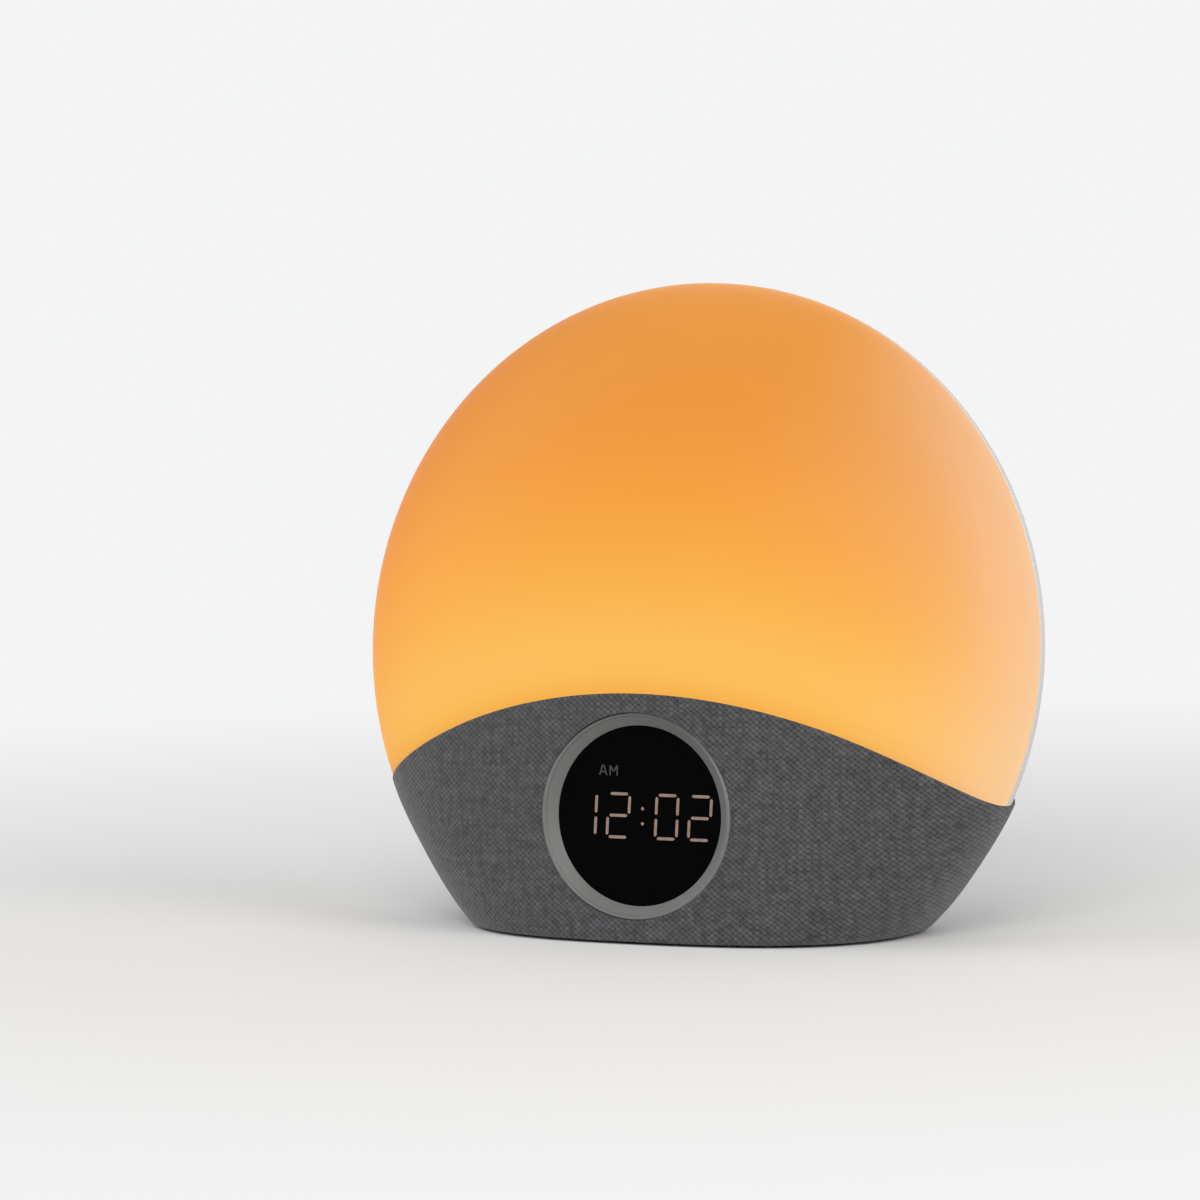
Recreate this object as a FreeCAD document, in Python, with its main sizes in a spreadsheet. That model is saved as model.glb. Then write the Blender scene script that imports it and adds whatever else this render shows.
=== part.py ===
import FreeCAD, Part
import math
import os
import Sketcher

# A sunrise alarm clock: a round light dome that leans back on a fabric-covered base with a small round display.
# Millimetres. +X is the clock's right as seen from the front, +Y its back, +Z up.
# The origin is on the table, under the middle of the clock.

doc = FreeCAD.newDocument("SunriseAlarmClock")
Vector = FreeCAD.Vector

# Driving dimensions, in millimetres, degrees or counts
DIMENSIONS = {
    # Round front outline and the way it leans
    "dome_radius": 90.0,
    "dome_centre_height": 68.9,
    "dome_centre_back": 2.0,
    "lean_angle": 6.25,
    "dome_front_depth": 37.2,
    "dome_back_depth": 34.5,
    "parting_back": 1.5,
    "dome_wall": 2.2,
    "rear_wall": 2.2,
    # Arch between the dome and the base
    "arch_radius": 151.0,
    "arch_drop": 12.0,
    # Base form
    "base_gap": 0.92,
    "base_foot_half_width": 58.51,
    "base_front_low": 41.2,
    "base_front_high": 37.95,
    "base_back_low": 28.7,
    "base_back_high": 35.2,
    "base_form_top": 62.0,
    "base_pinch": 0.7,
    "base_pinch_top": 34.0,
    "front_square_low": 2.59,
    "front_square_high": 1.98,
    "back_square": 2.03,
    "fabric_thickness": 0.9,
    "base_wall": 2.2,
    # Display
    "display_height": 31.23,
    "display_front": 39.08,
    "display_lean": 3.74,
    "bezel_radius": 25.4,
    "bezel_mouth_radius": 24.7,
    "bezel_flange": 2.0,
    "bezel_depth": 2.44,
    "bezel_sleeve_radius": 23.8,
    "bezel_sleeve_length": 8.0,
    "glass_radius": 23.0,
    "glass_sight_radius": 22.0,
    "glass_thickness": 1.6,
    "bezel_step": 0.2,
    "bezel_fit": 0.1,
    "gasket_width": 2.0,
    "gasket_thickness": 0.8,
    "collar_wall": 2.5,
    "collar_length": 9.2,
    "display_board_thickness": 1.6,
    "shield_wall": 1.2,
    "display_screw_length": 5.0,
    # Digits
    "digit_height": 11.26,
    "digit_width": 6.44,
    "digit_stroke": 0.72,
    "digit_gap": 0.42,
    "digit_slant": 2.2,
    "digit_pitch": 8.95,
    "digit_drop": 0.08,
    "digit_shift": 0.76,
    "colon_offset": 4.1,
    "colon_half_height": 1.83,
    "morning_mark_left": 8.6,
    "morning_mark_rise": 10.85,
    "morning_mark_height": 2.6,
    "morning_letter_width": 2.1,
    "morning_letter_pitch": 2.8,
    # Bottom plate and feet
    "foot_radius": 5.5,
    "foot_height": 1.6,
    "foot_spread": 33.0,
    "foot_front": 21.0,
    "foot_back": 13.5,
    "plate_low": 1.0,
    "plate_thickness": 2.0,
    "plate_clearance": 0.3,
    "base_boss_radius": 3.6,
    "base_boss_height": 20.0,
    "base_rib_width": 2.0,
    "base_boss_spread": 47.0,
    "base_boss_front": 12.0,
    "base_boss_back": 4.0,
    "vent_length": 16.0,
    "vent_width": 1.8,
    "vent_pitch": 4.0,
    "vent_spread": 27.0,
    # Screws
    "screw_radius": 1.45,
    "screw_head_radius": 2.8,
    "screw_head_height": 1.9,
    "screw_clearance": 0.25,
    "bottom_screw_length": 12.0,
    "small_screw_radius": 0.8,
    "small_screw_head_radius": 1.7,
    "small_screw_head_height": 1.1,
    "pilot_clearance": 0.02,
    "pilot_spare": 0.2,
    # Backup cell
    "cell_radius": 10.0,
    "cell_thickness": 3.2,
    "cell_back": -3.0,
    "cell_left": 3.0,
    "cell_clearance": 0.4,
    "holder_wall": 2.6,
    "holder_roof": 1.0,
    "contact_height": 0.6,
    "door_length": 40.0,
    "door_width": 27.0,
    "door_thickness": 1.5,
    "door_clearance": 0.2,
    "door_pad_height": 0.6,
    "door_screw_right": 17.0,
    # Main board
    "board_thickness": 1.6,
    "main_board_width": 80.0,
    "main_board_depth": 38.0,
    "main_board_front": 18.0,
    "main_board_height": 13.0,
    "main_post_spread": 35.0,
    "main_post_inset": 5.0,
    "post_radius": 3.0,
    # Power socket and its panel
    "socket_axis_height": 20.1,
    "socket_width": 9.0,
    "socket_body_height": 11.0,
    "socket_nose_radius": 4.0,
    "socket_bore_radius": 3.15,
    "socket_bore_depth": 9.0,
    "socket_pin_radius": 1.0,
    "socket_body_step": 3.8,
    "panel_width": 24.0,
    "panel_height": 15.0,
    "panel_recess": 0.3,
    "panel_thickness": 2.8,
    "panel_flange": 1.6,
    # Light chamber
    "reflector_thickness": 2.0,
    "reflector_gap": 0.1,
    "deck_thickness": 2.0,
    "deck_low": 20.0,
    "strip_thickness": 0.5,
    "strip_width": 9.0,
    "strip_front": 20.0,
    "strip_half_angle": 25.0,
    "chip_count": 13,
    "chip_size": 3.5,
    "chip_height": 0.9,
    # Rear shell fittings
    "rim_width": 3.6,
    "rim_depth": 2.5,
    "shell_screw_upper_side": 60.0,
    "shell_screw_upper_rise": 30.0,
    "shell_screw_lower_side": 70.0,
    "shell_screw_lower_drop": 8.0,
    "shell_boss_back": 12.0,
    "shell_boss_radius": 3.6,
    "well_wall": 1.4,
    "well_floor": 1.6,
    "well_clearance": 0.6,
    # Speaker
    "speaker_rise": 12.0,
    "speaker_radius": 20.0,
    "speaker_seat_back": 28.0,
    "speaker_gasket": 1.0,
    "speaker_flange": 1.2,
    "speaker_collar_inner": 17.6,
    "speaker_collar_outer": 21.5,
    "speaker_depth": 18.0,
    "magnet_radius": 12.0,
    "magnet_height": 6.0,
    "coil_radius": 6.0,
    "dust_cap_rise": 2.2,
    "slot_height": 2.0,
    "slot_pitch": 3.9,
    "slot_field_radius": 16.5,
    "slot_count": 9,
    # Keys
    "key_travel": 0.8,
    "key_play": 0.3,
    "key_proud": 1.0,
    "key_radius": 5.0,
    "key_pitch": 16.0,
    "key_rise": 46.0,
    "key_gap": 0.3,
    "key_flange": 1.4,
    "key_flange_thickness": 1.2,
    "key_stem_radius": 1.8,
    "snooze_length": 34.0,
    "snooze_height": 11.0,
    "snooze_rise": 64.0,
    "snooze_stem_length": 2.5,
    "key_board_width": 76.0,
    "key_board_low": 33.0,
    "key_board_high": 71.0,
    "key_post_radius": 2.5,
    "key_post_upper_side": 27.0,
    "key_post_upper_rise": 57.0,
    "key_post_lower_side": 24.0,
    "key_post_lower_rise": 37.5,
    "key_screw_length": 6.0,
    "key_board_corner": 15.0,
    "switch_size": 6.0,
    "switch_height": 3.2,
}

sheet = doc.addObject("Spreadsheet::Sheet", "Sizes")
for row, (alias, number) in enumerate(DIMENSIONS.items(), start=1):
    sheet.set(f"A{row}", alias.replace("_", " "))
    sheet.set(f"B{row}", str(number))
    sheet.setAlias(f"B{row}", alias)
doc.recompute()


class Size:
    """A length or angle that knows its number and the sheet formula it comes from."""

    def __init__(self, number, formula):
        self.number = float(number)
        self.formula = formula

    def __add__(self, other):
        other = as_size(other)
        return Size(self.number + other.number, f"({self.formula} + {other.formula})")

    def __radd__(self, other):
        return as_size(other) + self

    def __sub__(self, other):
        other = as_size(other)
        return Size(self.number - other.number, f"({self.formula} - {other.formula})")

    def __rsub__(self, other):
        return as_size(other) - self

    def __mul__(self, other):
        other = as_size(other)
        return Size(self.number * other.number, f"({self.formula} * {other.formula})")

    def __rmul__(self, other):
        return as_size(other) * self

    def __truediv__(self, other):
        other = as_size(other)
        return Size(self.number / other.number, f"({self.formula} / {other.formula})")

    def __neg__(self):
        return Size(-self.number, f"(0 - {self.formula})")

    def __float__(self):
        return self.number


def as_size(value):
    return value if isinstance(value, Size) else Size(value, repr(float(value)))


def size(alias):
    """One cell of the sheet."""
    return Size(sheet.get(alias), f"Sizes.{alias}")


def bind(item, prop, value):
    """Drive one property from the sheet."""
    value = as_size(value)
    item.setExpression(prop, value.formula)


def place(item, x=0, y=0, z=0, tilt=None):
    """Put an item at x, y, z, leaning back by tilt degrees about its own X axis."""
    point = Vector(float(x), float(y), float(z))
    turn = FreeCAD.Rotation(Vector(-1, 0, 0), float(tilt) if tilt is not None else 0)
    item.Placement = FreeCAD.Placement(point, turn)
    for axis, value in zip("xyz", (x, y, z)):
        if isinstance(value, Size):
            bind(item, f"Placement.Base.{axis}", value)
    if isinstance(tilt, Size):
        bind(item, "Placement.Rotation.Angle", tilt)
    return item


def in_dome(item):
    """Move an item from the dome's own axes, centred in the dome, to its place on the table."""
    return place(item, 0, size("dome_centre_back"), size("dome_centre_height"), size("lean_angle"))


def in_display(item):
    """Move an item from the display's own axes, centred on the bezel's face, to its place."""
    back = size("dome_centre_back") - size("display_front")
    return place(item, 0, back, size("display_height"), size("display_lean"))


def along_depth(item, x, y, z):
    """Stand a round primitive on its side, so that its axis runs back from x, y, z."""
    item.Placement = FreeCAD.Placement(Vector(float(x), float(y), float(z)), FreeCAD.Rotation(Vector(-1, 0, 0), 90))
    for axis, value in zip("xyz", (x, y, z)):
        if isinstance(value, Size):
            bind(item, f"Placement.Base.{axis}", value)
    return item


def cylinder(name, radius, height, x=0, y=0, z=0, deep=False):
    """A cylinder that rises from x, y, z, or runs back from there where deep is true."""
    item = doc.addObject("Part::Cylinder", name)
    bind(item, "Radius", radius)
    bind(item, "Height", height)
    return along_depth(item, x, y, z) if deep else place(item, x, y, z)


def block(name, width, depth, height, x=0, y=0, z=0):
    """A block centred on x, with its front at y and its underside at z."""
    item = doc.addObject("Part::Box", name)
    bind(item, "Length", width)
    bind(item, "Width", depth)
    bind(item, "Height", height)
    return place(item, as_size(x) - as_size(width) / 2, y, z)


def quarter_ellipse(radius, depth, centre, forward):
    """The edge from a flattened ball's front or back pole out to its widest circle."""
    ellipse = Part.Ellipse(Vector(0, centre, 0), radius, depth)
    start = -math.pi / 2 if forward else 0
    return Part.ArcOfEllipse(ellipse, start, start + math.pi / 2).toBSpline().toShape()


def half_ball(name, radius, depth, centre=0, forward=False, wall=None, rim=0):
    """Half a flattened ball, solid or as a wall with a straight rim, spun about the depth axis."""
    radius, depth, centre, rim = float(radius), float(depth), float(centre), float(rim)
    side = -1 if forward else 1
    edges = [quarter_ellipse(radius, depth, centre, forward)]
    outer_pole = Vector(0, centre + side * depth, 0)
    rim_end = centre - side * rim
    if rim:
        edges.append(Part.makeLine(Vector(radius, centre, 0), Vector(radius, rim_end, 0)))
    if wall is None:
        edges.append(Part.makeLine(Vector(radius, rim_end, 0), Vector(0, rim_end, 0)))
        edges.append(Part.makeLine(Vector(0, rim_end, 0), outer_pole))
    else:
        inner, reach = radius - float(wall), depth - float(wall)
        edges.append(Part.makeLine(Vector(radius, rim_end, 0), Vector(inner, rim_end, 0)))
        if rim:
            edges.append(Part.makeLine(Vector(inner, rim_end, 0), Vector(inner, centre, 0)))
        edges.append(quarter_ellipse(inner, reach, centre, forward))
        edges.append(Part.makeLine(Vector(0, centre + side * reach, 0), outer_pole))
    face = Part.Face(Part.Wire(Part.__sortEdges__(edges)))
    item = doc.addObject("Part::Feature", name)
    item.Shape = face.revolve(Vector(0, 0, 0), Vector(0, 1, 0), 360)
    return item


def cut(name, base, tool):
    item = doc.addObject("Part::Cut", name)
    item.Base = base
    item.Tool = tool
    return item


def fuse(name, *members):
    item = doc.addObject("Part::MultiFuse", name)
    item.Shapes = list(members)
    return item


def common(name, *members):
    item = doc.addObject("Part::MultiCommon", name)
    item.Shapes = list(members)
    return item


def group(name, members):
    """Separate solids that belong to one sub-part."""
    item = doc.addObject("Part::Compound", name)
    item.Links = list(members)
    return item


def sketch_in(body, role, name):
    """An empty sketch on one of the body's own origin planes."""
    plane = [f for f in body.Origin.OriginFeatures if f.Role == role][0]
    sketch = body.newObject("Sketcher::SketchObject", name)
    sketch.AttachmentSupport = [(plane, "")]
    sketch.MapMode = "FlatFace"
    return sketch


def pin_down(sketch, index, end, x, y):
    """Hold one sketch point at x, y from the sheet."""
    for kind, value in (("DistanceX", as_size(x)), ("DistanceY", as_size(y))):
        number = sketch.addConstraint(Sketcher.Constraint(kind, -1, 1, index, end, value.number))
        sketch.setExpression(f"Constraints[{number}]", value.formula)


def draw_outline(sketch, corners):
    """A closed outline of straight sides through the given corners."""
    first = sketch.GeometryCount
    count = len(corners)
    points = [Vector(float(x), float(y), 0) for x, y in corners]
    for i in range(count):
        sketch.addGeometry(Part.LineSegment(points[i], points[(i + 1) % count]))
    for i in range(count):
        sketch.addConstraint(Sketcher.Constraint("Coincident", first + i, 2, first + (i + 1) % count, 1))
    for i, (x, y) in enumerate(corners):
        pin_down(sketch, first + i, 1, x, y)


def draw_circle(sketch, x, y, radius):
    radius = as_size(radius)
    index = sketch.addGeometry(Part.Circle(Vector(float(x), float(y), 0), Vector(0, 0, 1), radius.number))
    pin_down(sketch, index, 3, x, y)
    number = sketch.addConstraint(Sketcher.Constraint("Radius", index, radius.number))
    sketch.setExpression(f"Constraints[{number}]", radius.formula)


def turned(name, corners, deep=False):
    """A turned piece: its half section, spun about the upright axis, or about the depth axis where deep is true."""
    body = doc.addObject("PartDesign::Body", name)
    sketch = sketch_in(body, "XY_Plane" if deep else "XZ_Plane", name + "Section")
    draw_outline(sketch, corners)
    spin = body.newObject("PartDesign::Revolution", name + "Spin")
    spin.Profile = sketch
    spin.ReferenceAxis = (sketch, ["V_Axis"])
    spin.Angle = 360
    return body


def plate(name, corners, thickness, holes=(), upright=False):
    """A flat plate that grows up from its outline, or back from it where upright is true."""
    body = doc.addObject("PartDesign::Body", name)
    sketch = sketch_in(body, "XZ_Plane" if upright else "XY_Plane", name + "Outline")
    draw_outline(sketch, corners)
    for x, y, radius in holes:
        draw_circle(sketch, x, y, radius)
    pad = body.newObject("PartDesign::Pad", name + "Pad")
    pad.Profile = sketch
    bind(pad, "Length", thickness)
    pad.Reversed = upright
    return body


def label(item, node):
    """Name a finished sub-part."""
    item.Label = node
    finished.append(item)
    return item


finished = []

# Shared forms
LEAN = math.radians(size("lean_angle").number)
REACH = 4 * size("dome_radius")


def section(height, inset):
    """One level slice through the base: two half superellipses, as wide as the round outline is at that height."""
    low = size("base_gap").number
    share = (size("base_form_top").number - height) / (size("base_form_top").number - low)
    rise = (height - size("dome_centre_height").number) / math.cos(LEAN)
    foot_rise = (size("dome_centre_height").number - low) / math.cos(LEAN)
    ball_foot = math.sqrt(size("dome_radius").number ** 2 - foot_rise ** 2)
    wide = math.sqrt((size("dome_radius").number - inset) ** 2 - rise ** 2)
    wide += (size("base_foot_half_width").number - ball_foot) * share ** 3
    waist = (height - low) / (size("base_pinch_top").number - low)
    if 0 < waist < 1:
        wide -= size("base_pinch").number * math.sin(math.pi * waist) ** 2
    spans = {}
    for side in ("front", "back"):
        high_span = size(f"base_{side}_high").number
        spans[side] = high_span + (size(f"base_{side}_low").number - high_span) * share - inset
    high_square = size("front_square_high").number
    front_square = high_square + (size("front_square_low").number - high_square) * share
    points = []
    for step in range(SECTION_POINTS):
        angle = 2 * math.pi * step / SECTION_POINTS
        across, along = math.cos(angle), math.sin(angle)
        square = size("back_square").number if along > 0 else front_square
        span = spans["back"] if along > 0 else spans["front"]
        x = wide * math.copysign(abs(across) ** (2 / square), across)
        y = span * math.copysign(abs(along) ** (2 / square), along)
        points.append(Vector(x, y + size("dome_centre_back").number, height))
    curve = Part.BSplineCurve()
    curve.interpolate(points, PeriodicFlag=True)
    return Part.Wire(curve.toShape())


SECTION_POINTS = 28
SECTION_LEVELS = 8


def base_form(name, inset, low, high=None):
    """The base's outer form, drawn in by inset, between two heights."""
    high = size("base_form_top").number + 2 if high is None else float(high)
    low = float(low)
    steps = max(2, round(SECTION_LEVELS * (high - low) / 60))
    levels = [low + (high - low) * i / steps for i in range(steps + 1)]
    item = doc.addObject("Part::Feature", name)
    item.Shape = Part.makeLoft([section(z, float(inset)) for z in levels], True, False)
    return item


def under_arch(name, radius):
    """All that lies under the arch, as one large round bar along the depth."""
    centre = -(size("arch_drop") + size("arch_radius"))
    bar = cylinder(name + "Bar", radius, REACH, 0, -REACH / 2, centre, deep=True)
    return bar


fabric = size("fabric_thickness")
skin = fabric + size("base_wall")
parting = size("parting_back")

# Light dome: the front half of the flattened ball, moulded as one opal wall
dome_shell = half_ball("DomeShell", size("dome_radius"), size("dome_front_depth"), forward=True,
                       wall=size("dome_wall"), rim=parting)
light_dome = cut("LightDome", dome_shell, under_arch("DomeArch", size("arch_radius")))
label(in_dome(light_dome), "light_dome")

# Reflector: a white plate that closes the light chamber and carries the posts for the rear shell's screws
chamber_radius = size("dome_radius") - size("dome_wall") - size("reflector_gap")
reflector_front = parting - size("reflector_thickness")
post_length = size("shell_boss_back") - parting
shell_screw_places = []
for side in (-1, 1):
    shell_screw_places.append((side * size("shell_screw_upper_side"), size("shell_screw_upper_rise")))
    shell_screw_places.append((side * size("shell_screw_lower_side"), -size("shell_screw_lower_drop")))
reflector_members = [cylinder("ReflectorDisc", chamber_radius, size("reflector_thickness"), 0, reflector_front, 0,
                              deep=True)]
pilot_holes = []
for i, (x, z) in enumerate(shell_screw_places):
    reflector_members.append(cylinder(f"ReflectorPost{i}", size("shell_boss_radius"), post_length, x, parting, z,
                                      deep=True))
    pilot_holes.append(cylinder(f"ReflectorPilot{i}", size("screw_radius") + size("pilot_clearance"), post_length, x, parting, z,
                                deep=True))
reflector_solid = cut("ReflectorSolid", fuse("ReflectorMembers", *reflector_members),
                      group("ReflectorPilots", pilot_holes))
reflector_arch = under_arch("ReflectorArch", size("arch_radius") + size("reflector_gap"))
reflector = cut("Reflector", reflector_solid, reflector_arch)
label(in_dome(reflector), "reflector")

# Rear shell: the back half of the round form, with a speaker grille, key holes and four screw wells
back_radius = size("dome_radius")
back_depth = size("dome_back_depth")
inner_radius = back_radius - size("rear_wall")
inner_depth = back_depth - size("rear_wall")


def inner_wall_back(distance):
    """How far back the rear shell's inside lies, at a distance from the dome's axis."""
    return parting.number + inner_depth.number * math.sqrt(1 - (distance / inner_radius.number) ** 2)


def flange_back(half_length, half_height, x, z):
    """How far back a key's flange may reach: to the inside of the shell at its farthest corner, less its play."""
    corner = math.hypot(abs(x) + half_length - half_height, z) + half_height + size("key_flange").number
    return inner_wall_back(corner) - size("key_play").number


key_places = {}
for i, node in enumerate(("light_key", "sound_key", "alarm_key", "minus_key", "plus_key")):
    key_places[node] = ((i - 2) * size("key_pitch"), size("key_rise"))
key_post_places = []
for side in (-1, 1):
    for row in ("upper", "lower"):
        key_post_places.append((side * size(f"key_post_{row}_side"), size(f"key_post_{row}_rise")))
snooze_flange_back = flange_back(size("snooze_length").number / 2, size("snooze_height").number / 2, 0,
                                 size("snooze_rise").number)
stem_reach = size("key_flange_thickness") + size("snooze_stem_length") + size("key_travel") + size("key_play")
key_board_top = snooze_flange_back - stem_reach - size("switch_height")
key_board_back = key_board_top - size("board_thickness")

rear_shell_wall = half_ball("RearWall", back_radius, back_depth, centre=parting, wall=size("rear_wall"))
rim_ring = cut("RimRing", cylinder("RimOuter", back_radius - 1, size("rim_depth"), 0, parting, 0, deep=True),
               cylinder("RimInner", back_radius - size("rim_width"), size("rim_depth"), 0, parting, 0, deep=True))
fittings = [rim_ring]
collar_reach = size("dome_back_depth")
well_radius = size("screw_head_radius") + size("well_clearance")
speaker_z = size("speaker_rise")
seat = size("speaker_seat_back")
fittings.append(cut("SpeakerCollar",
                    cylinder("SpeakerCollarOuter", size("speaker_collar_outer"), collar_reach, 0, seat, speaker_z,
                             deep=True),
                    cylinder("SpeakerCollarInner", size("speaker_collar_inner"), collar_reach, 0, seat, speaker_z,
                             deep=True)))
for i, (x, z) in enumerate(shell_screw_places):
    fittings.append(cylinder(f"Well{i}", well_radius + size("well_wall"), collar_reach, x, size("shell_boss_back"), z,
                             deep=True))
for i, (x, z) in enumerate(key_post_places):
    fittings.append(cylinder(f"KeyPost{i}", size("key_post_radius"), collar_reach, x, key_board_top, z, deep=True))
inside_outline = half_ball("RearOutline", back_radius - 0.8, back_depth - 0.8, centre=parting)
rear_fittings = common("RearFittings", fuse("RearFittingsAll", *fittings), inside_outline)
rear_solid = fuse("RearSolid", rear_shell_wall, rear_fittings)
rear_cuts = []
for i, (x, z) in enumerate(shell_screw_places):
    floor = size("shell_boss_back") + size("well_floor")
    rear_cuts.append(cylinder(f"WellBore{i}", well_radius, collar_reach, x, floor, z, deep=True))
    rear_cuts.append(cylinder(f"WellHole{i}", size("screw_radius") + size("screw_clearance"), collar_reach, x,
                              size("shell_boss_back") - 1, z, deep=True))
key_pilot_depth = size("key_screw_length") - size("board_thickness") + size("pilot_spare")
for i, (x, z) in enumerate(key_post_places):
    rear_cuts.append(cylinder(f"KeyPilot{i}", size("small_screw_radius") + size("pilot_clearance"), key_pilot_depth, x,
                              key_board_top, z, deep=True))
slots = doc.addObject("Part::Feature", "SpeakerSlots")


def pill(length, height, depth, x, y, z):
    """A bar with round ends that runs back from y."""
    half = (length - height) / 2
    bar = Part.makeBox(2 * half, depth, height, Vector(x - half, y, z - height / 2))
    ends = [Part.makeCylinder(height / 2, depth, Vector(x + side * half, y, z), Vector(0, 1, 0)) for side in (-1, 1)]
    return bar.multiFuse(ends).removeSplitter()


slot_shapes = []
slot_count = int(size("slot_count").number)
for i in range(slot_count):
    offset = (i - (slot_count - 1) / 2) * size("slot_pitch").number
    chord = 2 * math.sqrt(size("slot_field_radius").number ** 2 - offset ** 2)
    slot_shapes.append(pill(chord, size("slot_height").number, 20, 0, seat.number, speaker_z.number + offset))
slots.Shape = Part.makeCompound(slot_shapes)
rear_cuts.append(slots)
for node, (x, z) in key_places.items():
    rear_cuts.append(cylinder(node + "Hole", size("key_radius") + size("key_gap"), collar_reach, x, key_board_top, z,
                              deep=True))
snooze_hole = doc.addObject("Part::Feature", "SnoozeHole")
snooze_gap = 2 * size("key_gap").number
snooze_hole.Shape = pill(size("snooze_length").number + snooze_gap, size("snooze_height").number + snooze_gap, 40, 0,
                         key_board_top.number, size("snooze_rise").number)
rear_cuts.append(snooze_hole)
rear_holed = cut("RearHoled", rear_solid, fuse("RearCuts", *rear_cuts))
rear_shell = cut("RearShell", rear_holed, under_arch("RearArch", size("arch_radius")))
label(in_dome(rear_shell), "rear_shell")

# Base shell: a moulded tub whose arched top edge carries the dome
arch_block = in_dome(group("ArchBlock", [under_arch("BaseArch", size("arch_radius"))]))
collar_radius = size("bezel_sleeve_radius") + size("bezel_fit") + size("collar_wall")
base_low = size("base_gap") + fabric
base_outer = common("BaseOuter", base_form("BaseForm", fabric, base_low), arch_block)
base_wall = cut("BaseWall", base_outer, base_form("BaseHollow", skin, -1))
collar = in_display(group("Collar", [cylinder("CollarBar", collar_radius, size("collar_length"), 0, 0, 0,
                                              deep=True)]))
plate_top = size("plate_low") + size("plate_thickness")
boss_places = []
for side in (-1, 1):
    boss_places.append((side * size("base_boss_spread"), size("dome_centre_back") - size("base_boss_front")))
    boss_places.append((side * size("base_boss_spread"), size("dome_centre_back") + size("base_boss_back")))
bosses = []
rib_length = size("dome_radius") - size("base_boss_spread")
for i, (x, y) in enumerate(boss_places):
    bosses.append(cylinder(f"BaseBoss{i}", size("base_boss_radius"), size("base_boss_height"), x, y, plate_top))
    outward = 1 if x.number > 0 else -1
    bosses.append(block(f"BaseRib{i}", rib_length, size("base_rib_width"), size("base_boss_height"),
                        x + outward * rib_length / 2, y - size("base_rib_width") / 2, plate_top))
base_fittings = common("BaseFittings", fuse("BaseFittingsAll", collar, *bosses),
                       base_form("BaseFittingLimit", fabric + 0.6, base_low))
base_solid = fuse("BaseSolid", base_wall, base_fittings)
bore_reach = size("collar_length") * 2
display_holes = in_display(group("DisplayHoles", [
    fuse("DisplayBores",
         cylinder("FlangeBore", size("bezel_radius") + size("bezel_fit"), bore_reach + size("bezel_flange"), 0,
                  -bore_reach, 0, deep=True),
         cylinder("SleeveBore", size("bezel_sleeve_radius") + size("bezel_fit"), bore_reach, 0, 0, 0, deep=True))]))
boss_pilots = [cylinder(f"BossPilot{i}", size("screw_radius") + size("pilot_clearance"), size("bottom_screw_length"),
                        x, y, plate_top) for i, (x, y) in enumerate(boss_places)]
display_screw_circle = size("bezel_sleeve_radius") + size("bezel_fit") + size("collar_wall") / 2
display_screw_places = [(display_screw_circle * math.cos(math.radians(a)),
                         display_screw_circle * math.sin(math.radians(a))) for a in (45, 135, 225, 315)]
collar_pilot_depth = size("display_screw_length") - size("display_board_thickness") + size("pilot_spare")
collar_pilots = [cylinder(f"CollarPilot{i}", size("small_screw_radius") + size("pilot_clearance"), collar_pilot_depth,
                          x, size("collar_length") - collar_pilot_depth, z, deep=True)
                 for i, (x, z) in enumerate(display_screw_places)]
panel_hole = doc.addObject("Part::Feature", "PanelHole")
panel_hole.Shape = pill(size("panel_width").number + 0.2, size("panel_height").number + 0.2, 40, 0, 10,
                        size("socket_axis_height").number)
base_cuts = fuse("BaseCuts", display_holes, panel_hole, in_display(group("CollarPilots", collar_pilots)), *boss_pilots)
base_shell = cut("BaseShell", base_solid, base_cuts)
label(base_shell, "base_shell")

# Fabric sleeve: woven acoustic cloth stretched over the base shell and folded in under its edge
sleeve_outer = common("SleeveOuter", base_form("SleeveForm", 0, size("base_gap")), arch_block)
sleeve_wall = cut("SleeveWall", sleeve_outer, base_form("SleeveHollow", fabric, base_low))
sleeve_open = cut("SleeveOpen", sleeve_wall, base_form("SleeveMouth", skin, -1, 10))
fabric_sleeve = cut("FabricSleeve", sleeve_open, fuse("SleeveCuts", display_holes, panel_hole))
label(fabric_sleeve, "fabric_sleeve")

# Light deck: a white arched floor of the light chamber, let into the base shell
deck_bar = cut("DeckBar", under_arch("DeckTop", size("arch_radius")),
               under_arch("DeckUnder", size("arch_radius") - size("deck_thickness")))
light_deck = common("LightDeck", in_dome(group("DeckBand", [deck_bar])), base_form("DeckLimit", skin + size("bezel_fit"), size("deck_low")))
label(light_deck, "light_deck")

# Display bezel: a turned ring with a funnel mouth, a flange on the shell and a sleeve through its collar
mouth_end = size("bezel_depth")
glass_front = mouth_end + size("bezel_step")
glass_back = glass_front + size("glass_thickness")
sight = size("glass_sight_radius")
glass = size("glass_radius")
flange_end = size("bezel_flange")
sleeve = size("bezel_sleeve_radius")
sleeve_end = size("bezel_sleeve_length")
lip = size("bezel_radius") - size("bezel_mouth_radius")
bezel = turned("DisplayBezel", [
    (size("bezel_mouth_radius"), 0), (size("bezel_radius") - lip / 3, 0), (size("bezel_radius"), lip / 2),
    (size("bezel_radius"), flange_end), (sleeve, flange_end), (sleeve, sleeve_end),
    (glass + 0.05, sleeve_end), (glass + 0.05, glass_front), (sight, glass_front), (sight, mouth_end)], deep=True)
label(in_display(bezel), "display_bezel")

# Display window: a black lens with slots that the light guides of the digits fill
stroke = size("digit_stroke").number
digit_high = size("digit_height").number
digit_wide = size("digit_width").number
digit_space = size("digit_gap").number
slant = math.tan(math.radians(size("digit_slant").number))
guide_depth = size("glass_thickness").number


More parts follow.
